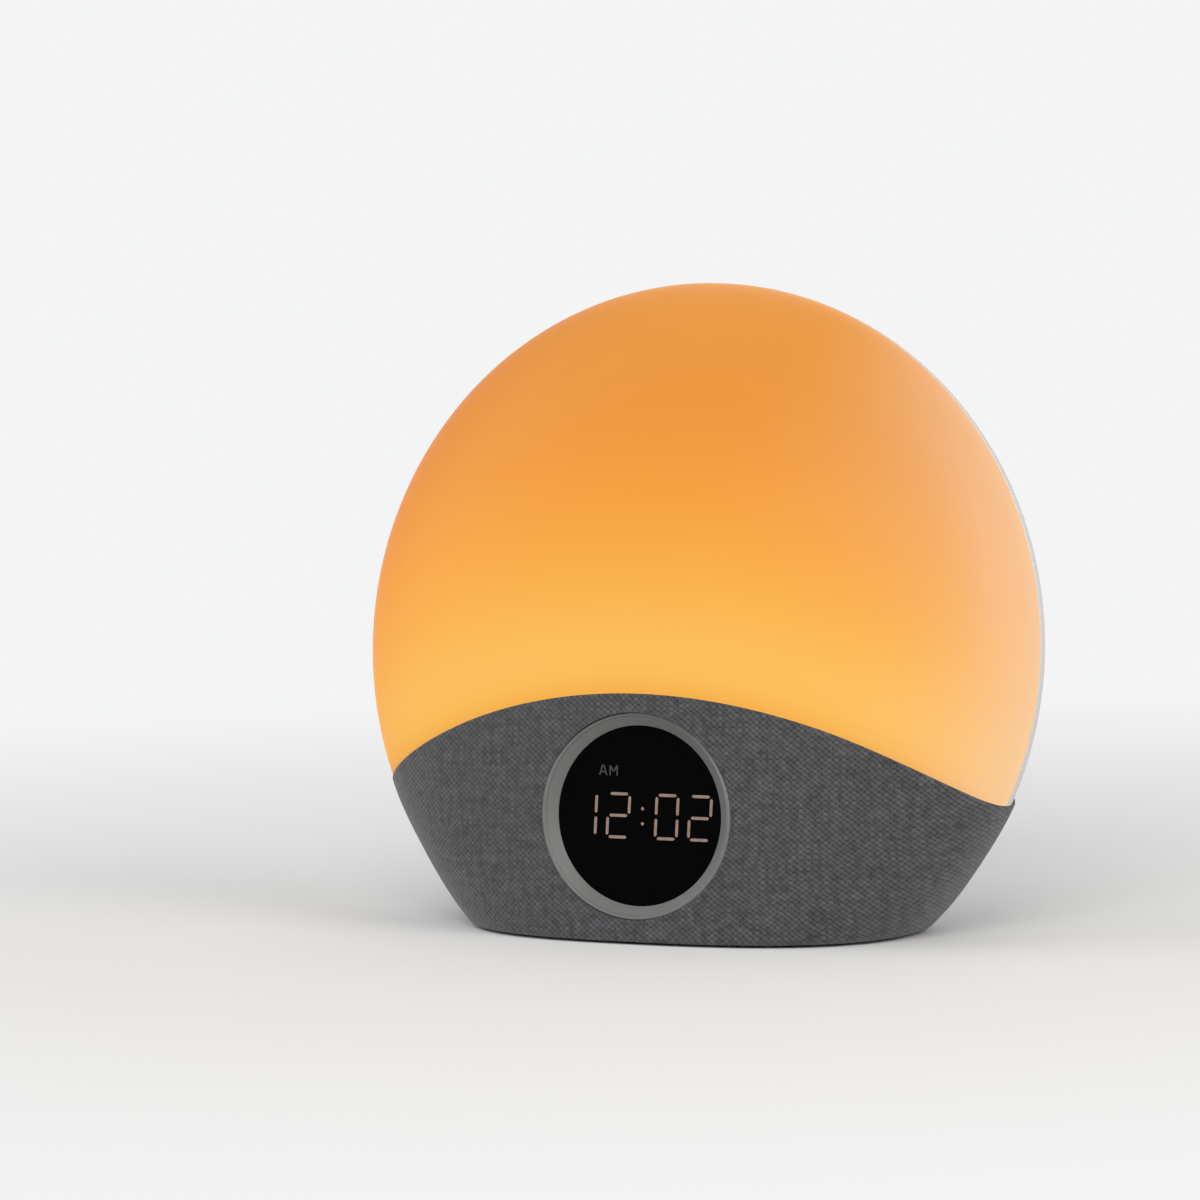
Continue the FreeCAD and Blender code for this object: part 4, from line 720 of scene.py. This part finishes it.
def lit_ink(name, colour, dim, bright, flecks, strength):
    """A lit light guide: its own colour, and a glow that varies a little along it."""
    material, tree, shader = new_material(name)
    shader.inputs["Base Color"].default_value = (*colour, 1)
    shader.inputs["Roughness"].default_value = 0.4
    flicker = node(tree, "ShaderNodeTexNoise", {"Scale": flecks,
                                                "Vector": node(tree, "ShaderNodeTexCoord").outputs["Object"]})
    tint = node(tree, "ShaderNodeMix", {"A": (*dim, 1), "B": (*bright, 1), "Factor": flicker.outputs["Fac"]},
                data_type="RGBA")
    tree.links.new(tint.outputs["Result"], shader.inputs["Emission Color"])
    shader.inputs["Emission Strength"].default_value = strength
    return material


def add_bar(bm, x, z, length, upright, thick=BAR):
    """One six-sided bar of a digit."""
    half, edge = length / 2 - BAR_GAP, thick / 2
    corners = [(-half, 0), (edge - half, edge), (half - edge, edge), (half, 0), (half - edge, -edge),
               (edge - half, -edge)]
    if upright:
        corners = [(b, a) for a, b in corners]
    add_prism(bm, [(x + a + (z + b) * DIGIT_SLANT, z + b - DIGIT_DROP) for a, b in corners])


bm = bmesh.new()
for middle, bars in zip(DIGIT_MIDDLES, SHOWN):
    half, quarter = DIGIT_HIGH / 2, DIGIT_HIGH / 4
    side = DIGIT_WIDE / 2
    spots = {"a": (0, half, False), "g": (0, 0, False), "d": (0, -half, False), "f": (-side, quarter, True),
             "b": (side, quarter, True), "e": (-side, -quarter, True), "c": (side, -quarter, True)}
    for letter in bars:
        x, z, upright = spots[letter]
        add_bar(bm, middle + x, z, half if upright else DIGIT_WIDE, upright)
for side in (-1, 1):
    add_prism(bm, disc_outline(COLON_MIDDLE, side * COLON_HALF - DIGIT_DROP, COLON_DOT, 16))
digits = placed("lit_digits", bm, DISPLAY_PLACE)
digits.data.materials.append(lit_ink("lit warm digits", (0.06, 0.045, 0.035), (0.17, 0.095, 0.070),
                                     (0.40, 0.27, 0.21), 700.0, 0.7))
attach(digits, "clock_body")
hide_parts("digit_light_guides")

bm = bmesh.new()
mark_low, mark_high = MARK_MIDDLE[1] - MARK_HIGH / 2, MARK_MIDDLE[1] + MARK_HIGH / 2
cross_bar = mark_low + MARK_HIGH * 0.33
dip = MARK_MIDDLE[1] - MARK_HIGH * 0.1
half = MARK_WIDE / 2
left, right_letter = MARK_MIDDLE[0] - MARK_PITCH / 2, MARK_MIDDLE[0] + MARK_PITCH / 2
strokes = [((left - MARK_WIDE * 0.2, cross_bar), (left + MARK_WIDE * 0.2, cross_bar))]
for side in (-1, 1):
    strokes += [((left + side * half, mark_low), (left + side * MARK_STROKE / 2, mark_high)),
                ((right_letter + side * half, mark_low), (right_letter + side * half, mark_high)),
                ((right_letter + side * half * 0.72, mark_high - MARK_STROKE),
                 (right_letter + side * half * 0.12, dip))]
for start, end in strokes:
    add_prism(bm, stroke_outline(start, end, MARK_STROKE))
mark = placed("morning_mark", bm, DISPLAY_PLACE)
mark.data.materials.append(lit_ink("dim morning mark", (0.02, 0.017, 0.015), (0.012, 0.009, 0.008),
                                   (0.036, 0.028, 0.024), 900.0, 0.8))
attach(mark, "clock_body")

# Rear shell
# The back half of the ball, moulded in pale plastic with a fine spark texture.
# It carries the speaker grille, the keys' holes and four screw wells, and its lower edge follows the arch.
REAR_DEPTH = 34.5 * MM
REAR_WALL = 2.2 * MM
SPEAKER_RISE = 12.0 * MM
SLOT_HEIGHT = 2.0 * MM
SLOT_PITCH = 3.9 * MM
SLOT_COUNT = 9
SLOT_FIELD = 16.5 * MM
KEY_RADIUS = 5.0 * MM
KEY_GAP = 0.3 * MM
KEY_PITCH = 16.0 * MM
KEY_RISE = 46.0 * MM
SNOOZE_LONG = 34.0 * MM
SNOOZE_HIGH = 11.0 * MM
SNOOZE_RISE = 64.0 * MM
WELL_PLACES = ((-60 * MM, 30 * MM), (60 * MM, 30 * MM), (-70 * MM, -8 * MM), (70 * MM, -8 * MM))
WELL_RADIUS = 3.4 * MM
WELL_WALL = 1.4 * MM
WELL_BACK = 12.0 * MM
WELL_FLOOR = 13.6 * MM
COLLAR_RADIUS = 21.5 * MM
COLLAR_BORE = 17.6 * MM
SEAT_BACK = 28.0 * MM
RIM_BEVEL = 0.28 * MM
DRILL_START, DRILL_END = 12.0 * MM, 60.0 * MM

outer = ellipse_points(DOME_RADIUS, REAR_DEPTH, PARTING, False, 44)
inner = ellipse_points(DOME_RADIUS - REAR_WALL, REAR_DEPTH - REAR_WALL, PARTING, False, 22)
profile = inner + [(DOME_RADIUS - RIM_BEVEL, PARTING), (DOME_RADIUS - 0.01 * MM, PARTING + RIM_BEVEL)]
profile += outer[:-1][::-1]
rear_shell = spun("rear_moulding", profile, 200, DOME_PLACE)
tools = [arch_bar("rear_arch_cutter", ARCH_RADIUS)]
for step in range(SLOT_COUNT):
    offset = (step - (SLOT_COUNT - 1) / 2) * SLOT_PITCH
    width = 2 * math.sqrt(SLOT_FIELD ** 2 - offset ** 2)
    tools.append(pill_bar(f"slot_{step}", width, SLOT_HEIGHT, SEAT_BACK, DRILL_END, DOME_PLACE,
                          z=SPEAKER_RISE + offset, segments=12))
for step in range(5):
    tools.append(bar(f"key_hole_{step}", KEY_RADIUS + KEY_GAP, DRILL_START, DRILL_END, DOME_PLACE,
                     x=(step - 2) * KEY_PITCH, z=KEY_RISE, segments=64))
tools.append(pill_bar("snooze_hole", SNOOZE_LONG + 2 * KEY_GAP, SNOOZE_HIGH + 2 * KEY_GAP, DRILL_START,
                      DRILL_END, DOME_PLACE, z=SNOOZE_RISE))
for step, (x, z) in enumerate(WELL_PLACES):
    tools.append(bar(f"well_bore_{step}", WELL_RADIUS, 8 * MM, DRILL_END, DOME_PLACE, x=x, z=z, segments=48))
carve(rear_shell, *tools)
shell_white = moulded("pale spark-textured shell", (0.63, 0.60, 0.565), 0.5, 1700.0, 0.00007, 25.0, 0.025)
rear_shell.data.materials.append(shell_white)
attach(rear_shell, "clock_body")
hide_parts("rear_shell")


def joined(name, pieces):
    """Several mesh objects as one."""
    bm = bmesh.new()
    for piece in pieces:
        bm.from_mesh(piece.data)
        bpy.data.objects.remove(piece)
    mesh = bpy.data.meshes.new(name)
    bm.to_mesh(mesh)
    bm.free()
    made = bpy.data.objects.new(name, mesh)
    bpy.context.collection.objects.link(made)
    return made


def shell_inside(x, z):
    """How far back the inside of the rear shell lies at x, z."""
    share = (x * x + z * z) / (DOME_RADIUS - REAR_WALL) ** 2
    return PARTING + (REAR_DEPTH - REAR_WALL) * math.sqrt(max(0.0, 1 - share))


def cup(name, x, z):
    """A screw well: a ring of wall and a floor with the screw's hole, its back end trimmed to the shell."""
    rings = [(1.7 * MM, WELL_BACK), (WELL_RADIUS + WELL_WALL, WELL_BACK), (WELL_RADIUS + WELL_WALL, None),
             (WELL_RADIUS, None), (WELL_RADIUS, WELL_FLOOR), (1.7 * MM, WELL_FLOOR)]
    bm = bmesh.new()
    loops = []
    for radius, depth in rings:
        loop = []
        for step in range(48):
            a = 2 * math.pi * step / 48
            px, pz = x + radius * math.cos(a), z + radius * math.sin(a)
            loop.append(bm.verts.new((px, shell_inside(px, pz) + 0.5 * MM if depth is None else depth, pz)))
        loops.append(loop)
    for a, b in zip(loops, loops[1:] + loops[:1]):
        for step in range(48):
            after = (step + 1) % 48
            bm.faces.new((a[step], a[after], b[after], b[step]))
    return placed(name, bm, DOME_PLACE)


fittings = [cup(f"cup_{step}", x, z) for step, (x, z) in enumerate(WELL_PLACES)]
speaker_place = DOME_PLACE @ Matrix.Translation((0, 0, SPEAKER_RISE))
collar_end = shell_inside(0, SPEAKER_RISE + COLLAR_RADIUS) + 0.3 * MM
profile = [(COLLAR_BORE, SEAT_BACK), (COLLAR_RADIUS, SEAT_BACK), (COLLAR_RADIUS, collar_end),
           (COLLAR_BORE, collar_end)]
fittings.append(spun("collar", profile, 96, speaker_place))
fittings = joined("shell_fittings", fittings)
fittings.data.materials.append(shell_white)
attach(fittings, "clock_body")
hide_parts("rear_shell")

# Keys
# Five round keys in a row and a long one above, each with a crowned cap a millimetre proud of the ball.
# A brim behind the shell holds each key in, and a stem presses its switch.
KEY_PROUD = 1.0 * MM
KEY_BRIM = 1.4 * MM
BRIM_THICK = 1.2 * MM
KEY_PLAY = 0.3 * MM
STEM_RADIUS = 1.8 * MM
STEM_FREE = 2.5 * MM
KEY_FILLET = 0.6 * MM
INLAY = 0.03 * MM
PRINT_DEPTH = 0.2 * MM


def key_top(x, z):
    """How far back the keys' crowned face lies at x, z."""
    share = (x * x + z * z) / (DOME_RADIUS + KEY_PROUD) ** 2
    return PARTING + (REAR_DEPTH + KEY_PROUD) * math.sqrt(1 - share)


def brim_back(x, z, half_long, half_high):
    """How far back a key's brim reaches: its farthest corner stops short of the shell by the key's play."""
    corner = math.hypot(abs(x) + half_long - half_high, z) + half_high + KEY_BRIM
    share = (corner / (DOME_RADIUS - REAR_WALL)) ** 2
    return PARTING + (REAR_DEPTH - REAR_WALL) * math.sqrt(1 - share) - KEY_PLAY


STEM_FRONT = (brim_back(0, SNOOZE_RISE, SNOOZE_LONG / 2, SNOOZE_HIGH / 2) - BRIM_THICK - STEM_FREE)


def key_piece(name, x, z, half_long, half_high):
    """One key: crowned cap with a rounded edge, brim and stem."""
    straight = half_long - half_high
    back = brim_back(x, z, half_long, half_high)
    rings = [(half_high * share, 0.0) for share in (0.06, 0.3, 0.55, 0.75)]
    rings.append((half_high - KEY_FILLET, 0.0))
    for step in range(1, 7):
        a = math.pi / 2 * step / 6
        rings.append((half_high - KEY_FILLET + KEY_FILLET * math.sin(a), -KEY_FILLET * (1 - math.cos(a))))
    rings += [(half_high, back), (half_high + KEY_BRIM, back), (half_high + KEY_BRIM, back - BRIM_THICK),
              (STEM_RADIUS, back - BRIM_THICK), (STEM_RADIUS, STEM_FRONT)]
    bm = bmesh.new()
    loops = []
    for radius, depth in rings:
        reach = straight if radius > STEM_RADIUS + 1e-6 or depth <= 0 else 0.0
        loop = []
        for step in range(96):
            a = 2 * math.pi * (step + 0.5) / 96 - math.pi / 2
            side = reach if math.cos(a) > 0 else -reach
            px, pz = x + side + radius * math.cos(a), z + radius * math.sin(a)
            loop.append(bm.verts.new((px, key_top(px, pz) + depth if depth <= 0 else depth, pz)))
        loops.append(loop)
    for a, b in zip(loops, loops[1:]):
        for step in range(96):
            after = (step + 1) % 96
            bm.faces.new((a[step], a[after], b[after], b[step]))
    bm.faces.new(loops[0])
    bm.faces.new(loops[-1])
    return placed(name, bm, DOME_PLACE, sharp=40)


def symbol_piece(name, x, z, outlines):
    """Printed marks on a key: outlines, in millimetres from the key's middle, laid on its crowned face."""
    bm = bmesh.new()
    for outline in outlines:
        points = [(x - px * MM, z + pz * MM) for px, pz in outline]
        face = bm.faces.new([bm.verts.new((px, key_top(px, pz) + INLAY, pz)) for px, pz in points])
        thicken(bm, face, -PRINT_DEPTH)
    return placed(name, bm, DOME_PLACE)


BELL = [(-1.9, -1.2), (-1.9, -0.85), (-1.35, -0.3), (-1.25, 0.6), (-0.95, 1.35), (-0.35, 1.8)]
SYMBOLS = {
    "light_key": [disc_outline(0, 0, 0.95)] + [
        stroke_outline(*ray, 0.38) for ray in zip(disc_outline(0, 0, 1.5, 8), disc_outline(0, 0, 2.3, 8))],
    "sound_key": [disc_outline(-0.75, -1.45, 0.72), stroke_outline((-0.2, -1.45), (-0.2, 2.0), 0.36),
                  [(-0.38, 2.0), (1.4, 1.2), (1.4, 0.45), (-0.38, 1.25)]],
    "alarm_key": [BELL + [(-x, z) for x, z in reversed(BELL)],
                  disc_outline(0, -1.75, 0.42), disc_outline(0, 2.1, 0.26)],
    "minus_key": [stroke_outline((-1.6, 0), (1.6, 0), 0.5)],
    "plus_key": [stroke_outline((-1.6, 0), (1.6, 0), 0.5), stroke_outline((0, 0.27), (0, 1.6), 0.5),
                 stroke_outline((0, -1.6), (0, -0.27), 0.5)],
}
key_finish = moulded("key plastic", (0.50, 0.475, 0.445), 0.42, 2600.0, 0.00003, 45.0, 0.03)
symbol_ink = moulded("grey key print", (0.085, 0.083, 0.08), 0.55, 3200.0, 0.00002, 60.0, 0.1)
for step, (key, outlines) in enumerate(SYMBOLS.items()):
    x = (step - 2) * KEY_PITCH
    cap = key_piece(key + "_cap", x, KEY_RISE, KEY_RADIUS, KEY_RADIUS)
    cap.data.materials.append(key_finish)
    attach(cap, key)
    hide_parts(key)
    symbol = symbol_piece(key + "_symbol", x, KEY_RISE, outlines)
    symbol.data.materials.append(symbol_ink)
    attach(symbol, key)
snooze = key_piece("snooze_key_cap", 0, SNOOZE_RISE, SNOOZE_LONG / 2, SNOOZE_HIGH / 2)
snooze.data.materials.append(key_finish)
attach(snooze, "snooze_key")
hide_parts("snooze_key")

# Screws
# Plated pan-head screws with cross recesses: four in the shell's wells and four under the base.
# The small ones inside and in the cell's door stay as they are built.
STEEL_HEAD = 2.8 * MM
HEAD_HIGH = 1.9 * MM
FLAT_HEAD_HIGH = 0.9 * MM
SHANK_RADIUS = 1.45 * MM
SCREW_POINT = 0.6 * MM
BOSS_PLACES = ((-47 * MM, -10 * MM), (47 * MM, -10 * MM), (-47 * MM, 6 * MM), (47 * MM, 6 * MM))


def screw_piece(name, place, head_radius, head_high, shank_radius, shank_long):
    """A cross-recessed screw: its head's seat is at the origin of its place, and its head points along +Y."""
    top = head_high
    profile = [(0, top), (head_radius * 0.55, top * 0.96), (head_radius * 0.86, top * 0.78),
               (head_radius, top * 0.42), (head_radius, 0), (shank_radius, 0),
               (shank_radius, -shank_long + SCREW_POINT), (shank_radius * 0.5, -shank_long), (0, -shank_long)]
    head = spun(name, profile, 40, place, sharp=40)
    cuts = []
    for turn_by in (0, math.pi / 2):
        bm = bmesh.new()
        bmesh.ops.create_cube(bm, size=1)
        bmesh.ops.scale(bm, vec=(head_radius * 1.15, head_high * 1.0, head_radius * 0.26), verts=bm.verts)
        bmesh.ops.translate(bm, vec=(0, top + head_high * 0.02, 0), verts=bm.verts)
        bmesh.ops.rotate(bm, cent=(0, 0, 0), matrix=Matrix.Rotation(turn_by + 0.4, 3, "Y"), verts=bm.verts)
        bmesh.ops.transform(bm, matrix=place, verts=bm.verts)
        cuts.append(finished("cross", bm))
    return carve(head, *cuts, sharp=40)


def metal(name, colour, roughness, scale=400.0):
    """Plated or rolled metal with faint scuffs."""
    material, tree, shader = new_material(name)
    where = node(tree, "ShaderNodeTexCoord")
    scuffs = node(tree, "ShaderNodeTexNoise", {"Scale": scale, "Detail": 6, "Vector": where.outputs["Object"]},
                  )
    mix = node(tree, "ShaderNodeMix", {"A": (*[c * 0.82 for c in colour], 1), "B": (*colour, 1),
                                       "Factor": scuffs.outputs["Fac"]}, data_type="RGBA")
    tree.links.new(mix.outputs["Result"], shader.inputs["Base Color"])
    shader.inputs["Metallic"].default_value = 1.0
    tree.links.new(calc(tree, "MULTIPLY_ADD", scuffs.outputs["Fac"], 0.2, roughness - 0.1),
                   shader.inputs["Roughness"])
    relief(tree, shader, scuffs.outputs["Fac"], 0.15, 0.00003)
    return material


screw_steel = metal("dull plated steel", (0.33, 0.325, 0.315), 0.36)
shell_screws = []
for step, (x, z) in enumerate(WELL_PLACES):
    place = DOME_PLACE @ Matrix.Translation((x, WELL_FLOOR, z)) @ Matrix.Rotation(0.7 * step, 4, "Y")
    shell_screws.append(screw_piece(f"shell_screw_{step}", place, STEEL_HEAD, HEAD_HIGH, SHANK_RADIUS, 9 * MM))
shell_screws = joined("well_screws", shell_screws)
shell_screws.data.materials.append(screw_steel)
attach(shell_screws, "clock_body")
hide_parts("shell_screws")
FACE_DOWN = Matrix.Rotation(-math.pi / 2, 4, "X")
bottom_screws = []
for step, (x, y) in enumerate(BOSS_PLACES):
    place = Matrix.Translation((x, y, 1.0 * MM)) @ FACE_DOWN @ Matrix.Rotation(0.9 * step, 4, "Y")
    bottom_screws.append(screw_piece(f"bottom_screw_{step}", place, STEEL_HEAD, FLAT_HEAD_HIGH, SHANK_RADIUS,
                                     12 * MM))
bottom_screws = joined("base_screws", bottom_screws)
bottom_screws.data.materials.append(screw_steel)
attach(bottom_screws, "clock_body")
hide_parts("bottom_screws")

# Sub-parts shown as they are built
# Mouldings, boards, speaker and cell inside the clock, and the plate, feet, panel and socket outside it.
# Each takes a finish of its own.
satin_white = moulded("satin white plastic", (0.78, 0.77, 0.75), 0.38, 2400.0, 0.00003, 30.0, 0.02)
satin_black = moulded("satin black plastic", (0.032, 0.032, 0.033), 0.45, 1900.0, 0.00006, 40.0, 0.12)
board_green = moulded("green circuit board", (0.022, 0.095, 0.045), 0.35, 3500.0, 0.00003, 240.0, 0.25)
chip_black = moulded("black chip plastic", (0.018, 0.018, 0.019), 0.5, 4200.0, 0.00003, 90.0, 0.15)
foam_grey = moulded("closed foam", (0.045, 0.045, 0.047), 0.92, 900.0, 0.00018, 160.0, 0.2)
rubber = moulded("foot rubber", (0.028, 0.028, 0.029), 0.78, 2600.0, 0.00004, 70.0, 0.15)
cone_paper = moulded("pressed cone paper", (0.030, 0.029, 0.028), 0.85, 700.0, 0.00012, 300.0, 0.3)
lamp_white = moulded("lamp package", (0.74, 0.72, 0.64), 0.35, 3000.0, 0.00002, 80.0, 0.04)
can_silver = metal("capacitor can", (0.62, 0.63, 0.64), 0.28)
cell_bright = metal("polished cell steel", (0.70, 0.69, 0.67), 0.24, 250.0)
magnet_grey = metal("zinc-plated magnet", (0.42, 0.42, 0.43), 0.42, 600.0)
copper = metal("lacquered copper wire", (0.72, 0.33, 0.15), 0.3, 1500.0)
pin_bright = metal("nickel-plated pin", (0.72, 0.68, 0.60), 0.18, 900.0)
FINISHES = {
    satin_white: ("reflector", "light_deck", "board_connectors"),
    satin_black: ("base_shell", "bottom_plate", "battery_door", "battery_holder", "display_light_shield",
                  "dc_socket", "socket_panel", "tact_switches"),
    board_green: ("display_board", "main_board", "key_board"),
    chip_black: ("board_chips",),
    foam_grey: ("display_gasket", "speaker_gasket"),
    rubber: ("rubber_feet", "speaker_surround"),
    cone_paper: ("speaker_cone", "speaker_dust_cap"),
    lamp_white: ("digit_leds", "led_strip", "led_chips"),
    can_silver: ("board_capacitors",),
    cell_bright: ("coin_cell", "battery_contact"),
    magnet_grey: ("speaker_magnet", "speaker_basket"),
    copper: ("voice_coil",),
    screw_steel: ("display_screws", "battery_door_screw", "main_board_screws", "key_board_screws"),
    pin_bright: ("dc_socket_pin",),
}
for finish, names in FINISHES.items():
    for name in names:
        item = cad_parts[name]
        item.data.materials.clear()
        item.data.materials.append(finish)

bpy.context.scene.view_settings.view_transform = "Standard"
